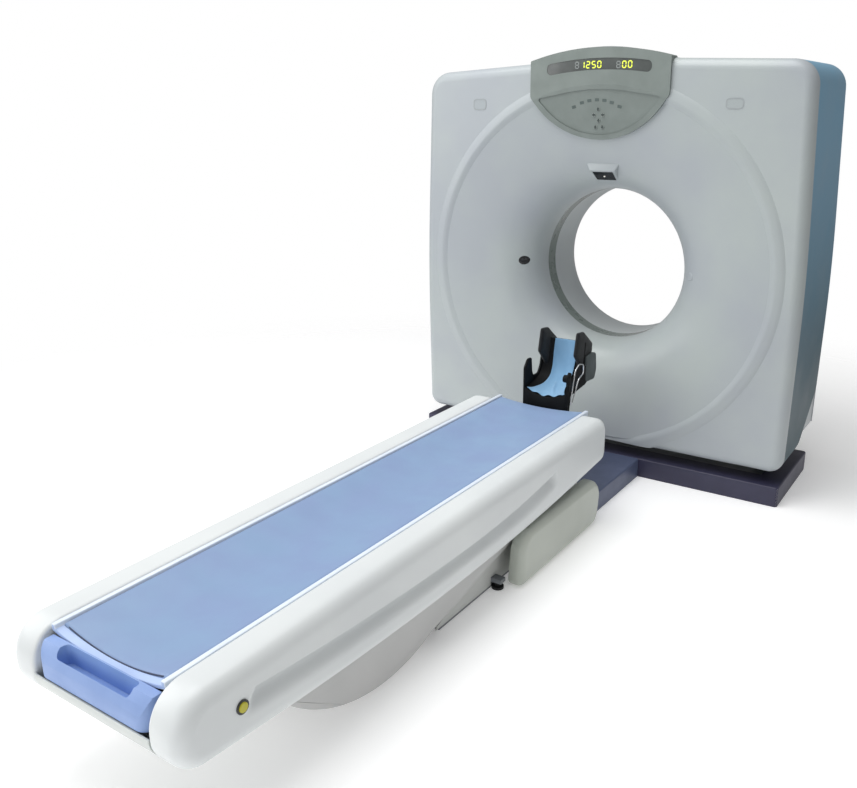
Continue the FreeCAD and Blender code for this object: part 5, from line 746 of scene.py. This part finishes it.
def nose_band(inset, low, high):
    """Points of the rail's nose outline, pulled in by inset, between two heights, from the top down."""
    points, normals = rounded_profile(RAIL_OUTLINE, 40)
    chain = (points - normals * inset)[normals[:, 0] < -0.02]
    chain = chain[np.argsort(-chain[:, 1])]
    z = np.concatenate([[high], chain[(chain[:, 1] < high) & (chain[:, 1] > low)][:, 1], [low]])
    return np.stack([np.interp(-z, -chain[:, 1], chain[:, 0]), z], axis=1)


class SCANNER_OT_foot_end(bpy.types.Operator):
    """Make the grab handle with its finger pocket, and the apron below it."""

    bl_idname = "scanner.foot_end"
    bl_label = "Make the Foot End"

    def execute(self, context):
        low, high, rear, half = 0.322, 0.403, -2.8885, 0.2135
        side = np.concatenate([nose_band(0.003, low, high), [(rear, low), (rear, high)]])
        plan = rounded_rectangle(0.203, 0.1, 0.034, 10) + np.array([0.0, -2.8425])
        pocket = rounded_rectangle(0.138, 0.0185, 0.012) + np.array([0.0, -2.9115])
        blue = injection_moulded_abs("handle_light_blue_abs", "#8FA9DA", "#88A2D4")
        # The pocket's slightly darker copy of the handle's blue is painted shade in the recess.
        deep = injection_moulded_abs("pocket_painted_shade_abs", "#86A6DC", "#7F9FD6")
        ride = ("table", "handle_blue")
        handle = hard_piece("grab_handle", prism(side, 0, -half, 2 * half), [blue, deep], *ride)
        carve(handle, hard_piece("plan_cutter", prism(plan, 2, 0.30, 0.15), [blue], *ride), "INTERSECT")
        carve(handle, hard_piece("pocket_cutter", prism(pocket, 2, 0.350, 0.12), [deep], *ride))
        soften(handle, 0.004)
        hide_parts("foot_handle")
        # The apron is a 4 mm skin that follows the nose down and then runs back under the table.
        under = [(-2.56, 0.2255), (-2.56, 0.2295)]
        apron = np.concatenate([nose_band(0.0, 0.2515, 0.319), under, nose_band(0.004, 0.2555, 0.319)[::-1]])
        pale = moulded_polyurethane("apron_satin_white", "#CDD2CF", "#C6CBC9")
        pan = hard_piece("foot_apron", prism(apron, 0, -0.2145, 0.429), [pale], "table", "rail_white", close=1e-7)
        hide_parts("under_pan")
        return {"FINISHED"}


class SCANNER_OT_deck(bpy.types.Operator):
    """Make the cradle's trough-shaped deck, its rims in a paler copy of its laminate: painted light on the rims."""

    bl_idname = "scanner.deck"
    bl_label = "Make the Deck"

    def execute(self, context):
        half, edge, rim_top, sag, shell, rim_inside = 0.2125, 0.421, 0.4285, 0.030, 0.012, 0.1975
        foot, length = -2.886, 2.151
        x = np.concatenate([[-half, -rim_inside], np.linspace(-0.1972, 0.1972, 41), [rim_inside, half]])
        trough = edge - sag * (1.0 - (x / 0.211) ** 2)
        top = np.where(np.abs(x) > 0.1973, rim_top, trough)
        outline = np.concatenate([np.stack([x, top], axis=1), np.stack([x, trough - shell], axis=1)[::-1]])
        blue = injection_moulded_abs("deck_pale_blue_laminate", "#B4C9EE", "#ACC1E7")
        # The rims' much paler copy of the laminate is painted light, standing in for the light on their tops.
        pale = injection_moulded_abs("deck_rim_painted_light_laminate", "#E2EBF6", "#DBE5F2")
        deck = hard_piece("cradle_deck", prism(outline, 1, foot, length), [blue, pale], "cradle", "cradle_blue")
        soften(deck, 0.0025, 2)
        second_material(deck, lambda centres: np.abs(centres[:, 0]) > rim_inside - 0.001)
        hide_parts("cradle")
        return {"FINISHED"}


class SCANNER_OT_skirt(bpy.types.Operator):
    """Make the keel-shaped skirt under the rails."""

    bl_idname = "scanner.skirt"
    bl_label = "Make the Skirt"

    def execute(self, context):
        angles = np.linspace(math.radians(-139.7), math.radians(-69.0), 40)
        arc = np.stack([np.cos(angles), np.sin(angles)], axis=1)
        keel, inner = KEEL_MIDDLE + KEEL_RADIUS * arc, KEEL_MIDDLE + (KEEL_RADIUS - SKIRT_WALL) * arc
        # Its top follows the rails' lower edge, 3 mm below it.
        profile, normals = rounded_profile(RAIL_OUTLINE, 60)
        under = profile[normals[:, 1] < -0.9]
        under = under[np.argsort(under[:, 0])]
        head = -1.25
        y_top = np.linspace(head, keel[0, 0] + 0.01, 40)
        top = np.stack([y_top, np.interp(y_top, under[:, 0], under[:, 1]) - 0.003], axis=1)
        outline = np.concatenate([keel, [(head, 0.187)], top])
        grey = moulded_polyurethane("skirt_satin_grey", "#C6C6C5", "#BEBFBE")
        ride = ("table", "skirt_grey")
        skirt = hard_piece("belly_skirt", prism(outline, 0, -SKIRT_HALF, 2 * SKIRT_HALF), [grey], *ride)
        # Hollow like the CAD skirt: open above, and open below towards the base, where the lift arm swings out.
        above = 0.30
        pocket = np.concatenate([inner, [(inner[-1, 0], above), (inner[0, 0], above)]])
        gap = np.array([(-1.945, -0.05), (-1.20, -0.05), (-1.20, above), (-1.945, above)])
        inside = SKIRT_HALF - SKIRT_WALL
        for hollow in (pocket, gap):
            carve(skirt, hard_piece("skirt_cutter", prism(hollow, 0, -inside, 2 * inside), [grey], *ride))
        soften(skirt, 0.003, 2, 50.0)
        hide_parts("table_skirt")
        return {"FINISHED"}


class SCANNER_OT_base_side_covers(bpy.types.Operator):
    """Make the two pillow-shaped covers beside the table base."""

    bl_idname = "scanner.base_side_covers"
    bl_label = "Make the Base Side Covers"

    def execute(self, context):
        foot, head, top = -1.493, -0.850, 0.198
        corners = [(foot, 0.002, 0.030), (head, 0.002, 0.058), (head + 0.034, top, 0.078), (foot + 0.026, top, 0.080)]
        shape, faces = rimmed_block(*rounded_profile(corners, 16), 0.326, 0.026, 0.271)
        paint = moulded_polyurethane("side_block_grey", "#BBC0B7", "#B3B8AF")
        for name, place in (("right", shape), ("left", mirror_x(shape))):
            block = new_piece("pillow_cover_" + name, (place, faces), [paint], "base", "base_panel", close=1e-6)
            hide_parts("base_side_cover_" + name)
        return {"FINISHED"}


# ---- the soft pieces and the head holder


def edge_lines(radius, half, count):
    """Coordinates from -half to half: a quarter circle's steps round each edge, and even steps between."""
    bend = np.linspace(0.0, math.pi / 2, 7)
    inwards = np.concatenate([radius * (1 - np.cos(bend)), np.linspace(radius, half, count)[1:]])
    return np.concatenate([inwards - half, (half - inwards)[::-1][1:]])


class SCANNER_OT_mattress(bpy.types.Operator):
    """Make the mattress that lies in the cradle, with its piping."""

    bl_idname = "scanner.mattress"
    bl_label = "Make the Mattress"

    def execute(self, context):
        sizes = context.scene.scanner_mattress
        low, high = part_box("cradle_pad")
        half, half_length = high[0], (high[1] - low[1]) / 2
        middle, edge_top = (low[1] + high[1]) / 2, high[2]
        thickness = edge_top - low[2] - sizes.sag
        radius = (half ** 2 + sizes.sag ** 2) / (2 * sizes.sag)

        def trough(x):
            """Height of the pad's middle layer at x: the trough's shallow arc, half a thickness below its top."""
            return edge_top + (radius - sizes.sag) - np.sqrt(radius ** 2 - x ** 2) - thickness / 2

        x, y = np.meshgrid(edge_lines(sizes.edge_radius, half, 14),
                           edge_lines(sizes.edge_radius, half_length, 110) + middle, indexing="ij")
        # Swell: half the thickness times the rounding of the nearest edge. Crown: full 60 mm inside the edges, with
        # shallow waves, and the fill of the head end.
        from_side, from_end = half - np.abs(x), half_length - np.abs(y - middle)
        near = np.clip(np.minimum(from_side, from_end) / sizes.edge_radius, 0.0, 1.0)
        swell = np.sqrt(np.clip(1.0 - (1.0 - near) ** 2, 0.0, 1.0))
        reach = np.clip(from_side / 0.06, 0.0, 1.0) * np.clip(from_end / 0.06, 0.0, 1.0)
        waves = np.sin(y * 41.0 + 3.0 * x) * np.sin(y * 13.0) + 0.6 * np.sin(x * 37.0 + y * 7.0)
        fill = sizes.head_fill * (1.0 - (x / half) ** 2) * smoothstep((y + 1.35) / 0.55)
        crown = sizes.crown * (1 - (1 - reach) ** 2) - 0.0008 * reach * waves + fill
        top = trough(x) + thickness / 2 * swell + crown * swell - 0.0012
        bottom = trough(x) - thickness / 2 * swell
        border = np.zeros(x.shape, dtype=bool)
        border[[0, -1], :] = border[:, [0, -1]] = True
        layers = [np.stack([x, y, np.where(border, trough(x), z)], axis=-1).reshape(-1, 3) for z in (top, bottom)]
        grid = grid_faces(*x.shape)
        cover = vinyl("mattress_blue_vinyl", context.scene.scanner_colours.mattress, "#849AC0")
        # Navy vinyl on the pad's lower half: partly its own dark underside, partly painted shade of the gap under the
        # pad's foot end.
        under = vinyl("mattress_navy_underside_and_painted_shade", "#323C58", "#2B344E")
        shape = (np.concatenate(layers), np.concatenate([grid, grid[:, ::-1] + x.size]))
        pad = new_piece("mattress", shape, [cover, under], "cradle", "pad", close=1e-5)
        second_material(pad, lambda centres: centres[:, 2] < trough(centres[:, 0]))
        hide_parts("cradle_pad")
        # Piping: a thin tube round the outline, on the trough's own arc, navy across the foot end, where the navy is
        # partly the welt's own colour and partly painted shade of the gap at the foot.
        outline = rounded_rectangle(half - sizes.piping, half_length - sizes.piping, 0.02)
        ring = np.concatenate([np.linspace(a, b, 2 + int(np.linalg.norm(b - a) / 0.02), endpoint=False)
                               for a, b in zip(outline, np.roll(outline, -1, axis=0))])
        ring = np.insert(ring + np.array([0.0, middle]), 2, trough(ring[:, 0]) + 0.003, axis=1)
        edge_tone = vinyl("piping_blue_vinyl", "#66779F", "#5F7098")
        piping = new_piece("mattress_piping", tube_along(ring, sizes.piping), [edge_tone, under], "cradle", "pad")
        second_material(piping, lambda centres: centres[:, 1] < -2.84)
        return {"FINISHED"}


def holder_bed(count, lift, shares, half):
    """Grid (count, n, 3) on the head holder's bed, lift above it, from the front lip to the top of its back: its side
    curve is smoothed by corner cutting, and its sides rise as a shallow trough."""
    path = HOLDER_CURVE
    for _ in range(4):
        cut = np.stack([0.75 * path[:-1] + 0.25 * path[1:], 0.25 * path[:-1] + 0.75 * path[1:]], axis=1)
        path = np.concatenate([path[:1], cut.reshape(-1, 2), path[-1:]])
    run = np.concatenate([[0.0], np.cumsum(np.linalg.norm(np.diff(path, axis=0), axis=1))])
    even = np.linspace(0.0, run[-1], count)
    line = np.stack([np.interp(even, run, path[:, 0]), np.interp(even, run, path[:, 1])], axis=1)
    ahead = np.gradient(line, axis=0)
    ahead /= np.linalg.norm(ahead, axis=1, keepdims=True)
    normal = np.stack([-ahead[:, 1], ahead[:, 0]], axis=1)
    x = shares[None, :] * np.broadcast_to(half, (count,))[:, None]
    rise = lift + 0.025 * (x / HOLDER_HALF) ** 2
    return np.stack([x, line[:, :1] + rise * normal[:, :1], line[:, 1:] + rise * normal[:, 1:]], axis=-1)


def side_plate(corners, x, thickness, radius):
    """Plate in a plane of constant x with rounded corners."""
    return prism(smooth_outline(corners, radius), 0, x, thickness)


class SCANNER_OT_head_holder(bpy.types.Operator):
    """Make the head holder: its bed and lip, the notched left cheek, the right posts and the clamp."""

    bl_idname = "scanner.head_holder"
    bl_label = "Make the Head Holder"

    def execute(self, context):
        black = finish("holder_black_laminate", "#0B0C0D", "#111314", 90.0, 3.0, 0.05, 0.6, 0.06,
                       {"IOR": 1.4, "Specular IOR Level": 0.25})
        grey = injection_moulded_abs("holder_grey_laminate", "#454D4E", "#3E4647")
        bright = machined_metal("clamp_bright_plate", "#DDDEE0", "#CFD1D3", 5.0, (1.0, 1.0, 1.0))
        shares = np.linspace(-1.0, 1.0, 25)
        plate, left_x, right_x = 0.009, -0.1065, 0.0975
        bed = shell_between(*(holder_bed(50, lift, shares, HOLDER_HALF) for lift in (0.0, -0.008)))
        rim = np.stack([shares * HOLDER_HALF, 0.447 + 0.025 * shares ** 2], axis=1)
        foot = np.stack([shares * HOLDER_HALF, np.full(25, 0.386)], axis=1)
        lip = prism(np.concatenate([rim, foot[::-1]]), 1, -0.717, plate)
        walls = [side_plate(LEFT_CHEEK, left_x, plate, 0.009), side_plate(RIGHT_POST, right_x, plate, 0.005),
                 side_plate(RIGHT_SILL, right_x, 0.007, 0.006)]
        body = hard_piece("head_holder_body", joined([bed, lip, *walls]), [black], "cradle", "holder_black")
        soften(body, 0.0022, 2)
        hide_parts("head_holder")
        bracket = hard_piece("head_holder_bracket", side_plate(BRACKET, right_x, plate, 0.014), [grey], "cradle",
                             "holder_black")
        soften(bracket, 0.003, 3)
        path = np.insert(smooth_outline(CLAMP_BEND, 0.010, 8), 0, 0.1105, axis=1)
        wire = new_piece("clamp_wire", tube_along(path, 0.0026, side=(1.0, 0.0, 0.0)), [bright], "cradle", "clamp")
        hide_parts("head_clamp")
        disc = 0.0165 * unit_circle(28) + np.array([-0.686, 0.533])
        knob = hard_piece("clamp_knob", prism(disc, 0, 0.0725, 0.026), [black], "cradle", "clamp")
        soften(knob, 0.003, 3)
        return {"FINISHED"}


class SCANNER_OT_head_pads(bpy.types.Operator):
    """Make the two foam wings inside the head holder's cheeks."""

    bl_idname = "scanner.head_pads"
    bl_label = "Make the Head Pads"

    def execute(self, context):
        x_out, thickness = 0.0965, 0.023
        outline = smooth_outline(WING_OUTLINE, 0.008)
        blocks = [foam_block(outline, side * (x_out - thickness / 2), thickness / 2) for side in (1, -1)]
        foam = covered_foam("wing_dark_foam", "#0D0F12", "#14171A")
        wings = new_piece("head_pads", joined(blocks), [foam], "cradle", "foam_dark", close=1e-5)
        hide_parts("head_wings")
        return {"FINISHED"}


def run_along(points):
    """Length from the first of some points (n, 3) to each of them."""
    return np.concatenate([[0.0], np.cumsum(np.linalg.norm(np.diff(points, axis=0), axis=1))])


class SCANNER_OT_head_cloth(bpy.types.Operator):
    """Lay the folded cloth in the head holder."""

    bl_idname = "scanner.head_cloth"
    bl_label = "Lay the Head Cloth"

    def execute(self, context):
        # It is widest at the front lip. Its height over the bed is a low ripple and one slanting crease.
        t = np.linspace(0.0, 1.0, 90)
        shares = np.linspace(-1.0, 1.0, 49)
        half = 0.052 + 0.038 * np.clip(1.0 - t / 0.30, 0.0, 1.0) ** 1.6 + 0.002 * np.sin(t * 9.0)
        ss, tt = np.meshgrid(shares, t, indexing="xy")
        folds = 0.0030 + 0.0022 * (1 + np.sin(ss * 7.0 + tt * 5.0)) * (0.3 + ss ** 2)
        crease = 0.0070 * np.exp(-((ss - 0.05 + 1.6 * (tt - 0.22)) / 0.10) ** 2) * np.exp(-((tt - 0.22) / 0.16) ** 2)
        points = holder_bed(len(t), folds + crease, shares, half)
        points[..., 2] += 0.004 * np.clip(1.0 - tt / 0.06, 0.0, 1.0) * np.sin(ss * 11.0)
        cotton = woven_cotton("head_cloth_blue_cotton", context.scene.scanner_colours.cloth, "#7AA6CA", 1.6)
        shape = (points.reshape(-1, 3), grid_faces(*ss.shape))
        cloth = new_piece("head_cloth_sheet", shape, [cotton], "cradle", "cloth")
        uv = cloth.data.uv_layers.new(name="UVMap")
        flat_uv = np.stack(np.meshgrid(run_along(points[10]), run_along(points[:, 24]), indexing="xy"), axis=-1)
        loops = np.empty(len(cloth.data.loops), dtype=int)
        cloth.data.loops.foreach_get("vertex_index", loops)
        uv.data.foreach_set("uv", flat_uv.reshape(-1, 2)[loops].ravel())
        wall = cloth.modifiers.new("Thickness", "SOLIDIFY")
        wall.thickness, wall.offset = 0.0012, 1.0
        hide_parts("head_cloth")
        return {"FINISHED"}


# ---- the gantry's pieces


def lens_disc(x, z, radius):
    """Disc that lies on the dish with a soft rim: rings of shrinking radius, each lifted a little more."""
    circle = unit_circle(32)
    rings = []
    for share, lift in ((1.0, -0.004), (1.0, 0.0006), (0.94, 0.0016), (0.6, 0.0020), (0.0, 0.0020)):
        flat = share * radius * circle + np.array([x, z])
        rings.append(np.insert(flat + np.array([0.0, ISO]), 1, dish_depth(np.hypot(*flat.T)) - lift, axis=1))
    faces = grid_faces(len(rings), len(circle), False, True).tolist()
    return np.concatenate(rings), [*faces, list(range(len(circle)))]


class SCANNER_OT_dish_ring(bpy.types.Operator):
    """Make the raised ring round the dish, the hood of the top light and the lenses of the lights."""

    bl_idname = "scanner.dish_ring"
    bl_label = "Make the Dish Ring and Lights"

    def execute(self, context):
        paint = bpy.data.materials["cover_satin_white"]
        white = ("gantry", "shell_white")
        circle = unit_circle(300)
        # The ring sinks into the cover towards its foot, and a box ends it at the cover's lower edge.
        keep = smoothstep((circle[:, 1] * 0.80 + 0.790) / 0.05)
        rows = [(radius, dish_depth(radius) - lift * keep + 0.004 * (1 - keep)) for radius, lift in RING_SECTION]
        rows += [(RING_SECTION[-1][0], FACE + 0.010), (RING_SECTION[0][0], FACE + 0.012)]
        rings = [np.insert(radius * circle + np.array([0.0, ISO]), 1, y, axis=1) for radius, y in rows]
        shape = (np.concatenate(rings), grid_faces(len(rings), len(circle), True, True))
        ring = new_piece("dish_ring", shape, [paint], *white, close=1e-6)
        above = prism(np.array([(-1.0, -0.5), (1.0, -0.5), (1.0, 0.1), (-1.0, 0.1)]), 2, COVER_FOOT, 2.0)
        carve(ring, hard_piece("ring_cutter", above, [paint], *white), "INTERSECT")
        ring.data.set_sharp_from_angle(angle=math.radians(40.0))
        places = np.array([(side * half, float(dish_depth(radius)) + behind, height + ISO)
                           for side in (-1, 1) for half, radius, behind, height in HOOD_CORNERS])
        hood = hard_piece("top_light_hood", (places, HOOD_FACES), [paint], *white)
        soften(hood, 0.005)
        # The dark window lies on the hood's lower face, a little inside its edges.
        left, right, heel_left, heel_right = places[[1, 5, 2, 6]]
        out = np.cross(right - left, heel_left - left)
        out *= -np.sign(out[1]) * 0.0008 / np.linalg.norm(out)
        corners = []
        for across, down in ((0.10, 0.10), (0.90, 0.10), (0.90, 0.80), (0.10, 0.80)):
            upper, lower = left + across * (right - left), heel_left + across * (heel_right - heel_left)
            corners.append(upper + down * (lower - upper) + out)
        corners = np.array(corners)
        lens = tinted_acrylic("light_window_lens", "#0C0E12", "#171A20", 0.12)
        shape = joined([extruded(corners, -2.0 * out), lens_disc(-0.408, 0.004, 0.021)])
        window = hard_piece("light_lenses", shape, [lens], "gantry", "lamp_dark", close=1e-7)
        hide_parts("light_windows")
        new_piece("light_blank", lens_disc(0.412, 0.0, 0.018), [paint], *white, smooth=True, close=1e-7)
        # A small glowing disc on the dark window of the top light: a painted glint, not a lamp.
        axes = np.array([(1.0, 0.0, 0.0), (0.0, 0.35, 0.93)])
        spot = corners.mean(axis=0) + out + 0.004 * unit_circle(14) @ axes
        glint = lit_segment("painted_glint_spot", "#E8E6DC", "#D8D6CC", 0.6)
        hard_piece("top_light_painted_glint", extruded(spot, 0.6 * out), [glint], "gantry", "lamp_dark", close=1e-7)
        return {"FINISHED"}


def segment_bar(start, end, width, y, depth):
    """Hexagonal bar from start to end in the (x, z) plane, pointed at both ends."""
    along = (end - start) / np.linalg.norm(end - start)
    aside = np.array([-along[1], along[0]]) * width / 2
    inset = along * width / 2
    flat = np.array([start, start + inset + aside, end - inset + aside, end, end - inset - aside,
                     start + inset - aside])
    return prism(flat, 1, y, -depth)


def digit_bars(figure, x, z, y, sizes):
    """Bars of a seven-segment figure whose lower left corner is at (x, z); a small gap parts neighbouring bars."""
    w, h = sizes.digit_width - sizes.bar, sizes.digit_height - sizes.bar
    ends = {
        "a": ((0, h), (w, h)), "b": ((w, h), (w, h / 2)), "c": ((w, h / 2), (w, 0)), "d": ((0, 0), (w, 0)),
        "e": ((0, 0), (0, h / 2)), "f": ((0, h / 2), (0, h)), "g": ((0, h / 2), (w, h / 2)),
    }
    corner = np.array([x + sizes.bar / 2, z + sizes.bar / 2])
    bars = []
    for letter in SEGMENTS[figure]:
        start, end = (np.array(point, dtype=float) for point in ends[letter])
        gap = (end - start) / np.linalg.norm(end - start) * sizes.bar * 0.12
        bars.append(segment_bar(corner + start + gap, corner + end - gap, sizes.bar, y, 0.0005))
    return bars


class SCANNER_OT_readout(bpy.types.Operator):
    """Light the numbers on the console's display."""

    bl_idname = "scanner.readout"
    bl_label = "Light the Readout"

    def execute(self, context):
        sizes = context.scene.scanner_readout
        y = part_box("display_window")[0][1] - 0.0001
        pitch = sizes.digit_width + 0.0065
        left, right, height = -0.080, 0.082, ISO + 0.861
        bars = {True: [], False: []}
        for index, figure in enumerate("1250"):
            bars[True] += digit_bars(figure, left + index * pitch, height, y, sizes)
        for index, figure in enumerate("800"):
            bars[index > 0] += digit_bars(figure, right + index * pitch, height - 0.004, y, sizes)
        bars[False] += digit_bars("8", left - pitch, height, y, sizes)
        glow = lit_segment("readout_lit_segment", "#D6E04A", "#C4D23C", 0.9)
        grey = lit_segment("readout_unlit_segment", "#8E9492", "#868C8A", 0.0)
        for name, lit, material in (("readout_digits", True, glow), ("readout_unlit_digits", False, grey)):
            hard_piece(name, joined(bars[lit]), [material], "gantry", "display", close=1e-7)
        return {"FINISHED"}


class SCANNER_OT_key_marks(bpy.types.Operator):
    """Mark the keys with arrows, and the keypad with its row of small membrane keys."""

    bl_idname = "scanner.key_marks"
    bl_label = "Mark the Keys"

    def execute(self, context):
        arrow = 0.0082 * np.array([(1.0, 0.0), (-0.15, 0.92), (-0.15, 0.42), (-0.85, 0.42), (-0.85, -0.42),
                                   (-0.15, -0.42), (-0.15, -0.92)])
        dark = injection_moulded_abs("key_mark_dark_ink", "#2C3735", "#35403E")
        for name, (x, z, angle) in KEY_PLACES.items():
            face = float(dish_depth(math.hypot(x, z))) - KEYPAD_LIFT - KEY_PROUD
            outline = turned(arrow, math.radians(angle)) + np.array([x, z + ISO])
            hard_piece(name + "_arrow", prism(outline, 1, face, -0.0004), [dark], name, "key", close=1e-7)
        marks = []
        for x, z, tilt in MEMBRANE_KEYS:
            outline = turned(rounded_rectangle(0.0095, 0.0062, 0.0025), math.radians(tilt)) + np.array([x, z])
            depth = dish_depth(np.hypot(*outline.T)) - KEYPAD_LIFT
            marks.append(prism(outline + np.array([0.0, ISO]), 1, depth, -0.0006))
        grey = injection_moulded_abs("membrane_key_grey", "#525E5B", "#5A6663")
        hard_piece("keypad_membrane_keys", joined(marks), [grey], "gantry", "key", close=1e-7)
        return {"FINISHED"}


class SCANNER_OT_cover_plates(bpy.types.Operator):
    """Make the two small rounded service plates on the front cover."""

    bl_idname = "scanner.cover_plates"
    bl_label = "Make the Cover Plates"

    def execute(self, context):
        radius, border, proud = 0.015, 0.0045, 0.0012
        rims, plates = [], []
        for x, z, half_width, half_height in SERVICE_PLATES:
            place = np.array([x, z + ISO])
            outer = rounded_rectangle(half_width, half_height, radius) + place
            inner = rounded_rectangle(half_width - border, half_height - border, radius - border) + place
            bands = ((outer, FACE), (outer, FACE - proud), (inner, FACE - proud), (inner, FACE))
            rings = np.concatenate([np.insert(outline, 1, y, axis=1) for outline, y in bands])
            rims.append((rings, grid_faces(len(bands), len(outer), True, True)))
            plates.append(prism(inner, 1, FACE, -0.0007))
        edge = injection_moulded_abs("plate_rim_grey", "#A3A9AB", "#9BA1A3")
        face = moulded_polyurethane("plate_face_white", "#AAB2B1", "#A3AAAE")
        for name, shapes, material in (("plate_rims", rims, edge), ("plate_faces", plates, face)):
            hard_piece(name, joined(shapes), [material], "gantry", "shell_white", close=1e-7)
        return {"FINISHED"}


# ---- stage


def lay_floor(scene):
    """White paper under the scanner, which fades out between two distances from its middle."""
    half, shift, below = 9.0, 1.2, 0.0005
    mesh = bpy.data.meshes.new("studio_floor")
    mesh.from_pydata([(x * half, y * half - shift, -below) for x, y in ((-1, -1), (1, -1), (1, 1), (-1, 1))], [],
                     [(0, 1, 2, 3)])
    floor = bpy.data.objects.new("studio_floor", mesh)
    scene.collection.objects.link(floor)
    paper, tree, shader, place = start_material("studio_white_paper", {
        "Base Color": linear("#FAFAFA"), "Roughness": 0.9, "Emission Color": WHITE, "Emission Strength": 0.22})
    centred = add(tree, "ShaderNodeMapping", {"Location": (0.0, shift, 0.0)}, {"Vector": place})
    away = add(tree, "ShaderNodeVectorMath", {}, {0: centred.outputs[0]}, operation="LENGTH")
    fade = add(tree, "ShaderNodeMapRange", {"From Min": 2.2, "From Max": 4.2, "To Min": 1.0, "To Max": 0.0},
               {"Value": away.outputs["Value"]}, interpolation_type="SMOOTHSTEP")
    tree.links.new(fade.outputs[0], shader.inputs["Alpha"])
    mesh.materials.append(paper)


def light_studio(scene):
    """A white backdrop for the camera, a dimmer sky for everything else, and the square panels."""
    world = bpy.data.worlds.new("studio_white")
    scene.world = world
    world.use_nodes = True
    tree = world.node_tree
    tree.nodes.clear()
    seen = add(tree, "ShaderNodeLightPath").outputs["Is Camera Ray"]
    sky = add(tree, "ShaderNodeBackground", {"Color": WHITE, "Strength": 0.33})
    backdrop = add(tree, "ShaderNodeBackground", {"Color": WHITE, "Strength": 1.0})
    both = add(tree, "ShaderNodeMixShader", links={0: seen, 1: sky.outputs[0], 2: backdrop.outputs[0]})
    add(tree, "ShaderNodeOutputWorld", links={"Surface": both.outputs[0]})
    for name, (power, size, place, aim) in LIGHTS.items():
        lamp = bpy.data.lights.new(name, "AREA")
        lamp.energy, lamp.size, lamp.shape = power, size, "SQUARE"
        holder = bpy.data.objects.new(name, lamp)
        scene.collection.objects.link(holder)
        holder.location = place
        holder.rotation_euler = (Vector(aim) - Vector(place)).to_track_quat("-Z", "Y").to_euler()


def set_camera(scene):
    """The camera of the photo's view: its lens, and its turn from yaw, pitch and roll."""
    view = bpy.data.cameras.new("photo_camera")
    view.sensor_width, view.sensor_fit = 36.0, "HORIZONTAL"
    view.lens = CAMERA_FOCUS * 36.0
    view.shift_x, view.shift_y = CAMERA_SHIFT
    view.clip_end = 60.0
    yaw, pitch, roll = CAMERA_TURN
    ahead = Vector((-math.sin(yaw) * math.cos(pitch), math.cos(yaw) * math.cos(pitch), -math.sin(pitch)))
    right = Vector((math.cos(yaw), math.sin(yaw), 0.0))
    up = right.cross(ahead)
    rolled_right = right * math.cos(roll) + up * math.sin(roll)
    rolled_up = -right * math.sin(roll) + up * math.cos(roll)
    turn = Matrix((rolled_right, rolled_up, -ahead)).transposed().to_4x4()
    camera = bpy.data.objects.new("photo_camera", view)
    camera.matrix_world = Matrix.Translation(CAMERA_PLACE) @ turn
    scene.collection.objects.link(camera)
    scene.camera = camera


class SCANNER_OT_stage(bpy.types.Operator):
    """Set the floor, the soft studio light and the camera."""

    bl_idname = "scanner.stage"
    bl_label = "Set the Stage"

    def execute(self, context):
        scene = context.scene
        scene.view_settings.view_transform = "Standard"
        lay_floor(scene)
        light_studio(scene)
        set_camera(scene)
        return {"FINISHED"}


# ---- the add-on


OPERATORS = (
    SCANNER_OT_stage,
    SCANNER_OT_dress_covers,
    SCANNER_OT_dress_machinery,
    SCANNER_OT_dress_table,
    SCANNER_OT_rails,
    SCANNER_OT_foot_end,
    SCANNER_OT_deck,
    SCANNER_OT_skirt,
    SCANNER_OT_base_side_covers,
    SCANNER_OT_dish_ring,
    SCANNER_OT_mattress,
    SCANNER_OT_head_holder,
    SCANNER_OT_head_pads,
    SCANNER_OT_head_cloth,
    SCANNER_OT_readout,
    SCANNER_OT_key_marks,
    SCANNER_OT_cover_plates,
)


class SCANNER_PT_panel(bpy.types.Panel):
    """Lists the scanner's pieces and settings."""

    bl_idname = "SCANNER_PT_panel"
    bl_label = "CT Scanner"
    bl_space_type = "VIEW_3D"
    bl_region_type = "UI"
    bl_category = "Scanner"

    def draw(self, context):
        for operator in OPERATORS:
            self.layout.operator(operator.bl_idname)
        for group in SETTINGS:
            settings = getattr(context.scene, group)
            for name in settings.__annotations__:
                self.layout.prop(settings, name)


SETTINGS = {
    "scanner_colours": ScannerColours,
    "scanner_mattress": ScannerMattressSizes,
    "scanner_readout": ScannerReadoutSizes,
}
CLASSES = (*SETTINGS.values(), *OPERATORS, SCANNER_PT_panel)


def register():
    """Registers the settings, the operators and the panel."""
    for item in CLASSES:
        bpy.utils.register_class(item)
    for name, group in SETTINGS.items():
        setattr(bpy.types.Scene, name, bpy.props.PointerProperty(type=group))


def unregister():
    """Takes them away again."""
    for name in SETTINGS:
        delattr(bpy.types.Scene, name)
    for item in reversed(CLASSES):
        bpy.utils.unregister_class(item)


def main():
    """Registers the add-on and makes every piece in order."""
    register()
    for operator in OPERATORS:
        family, name = operator.bl_idname.split(".")
        getattr(getattr(bpy.ops, family), name)()


if __name__ == "__main__":
    main()
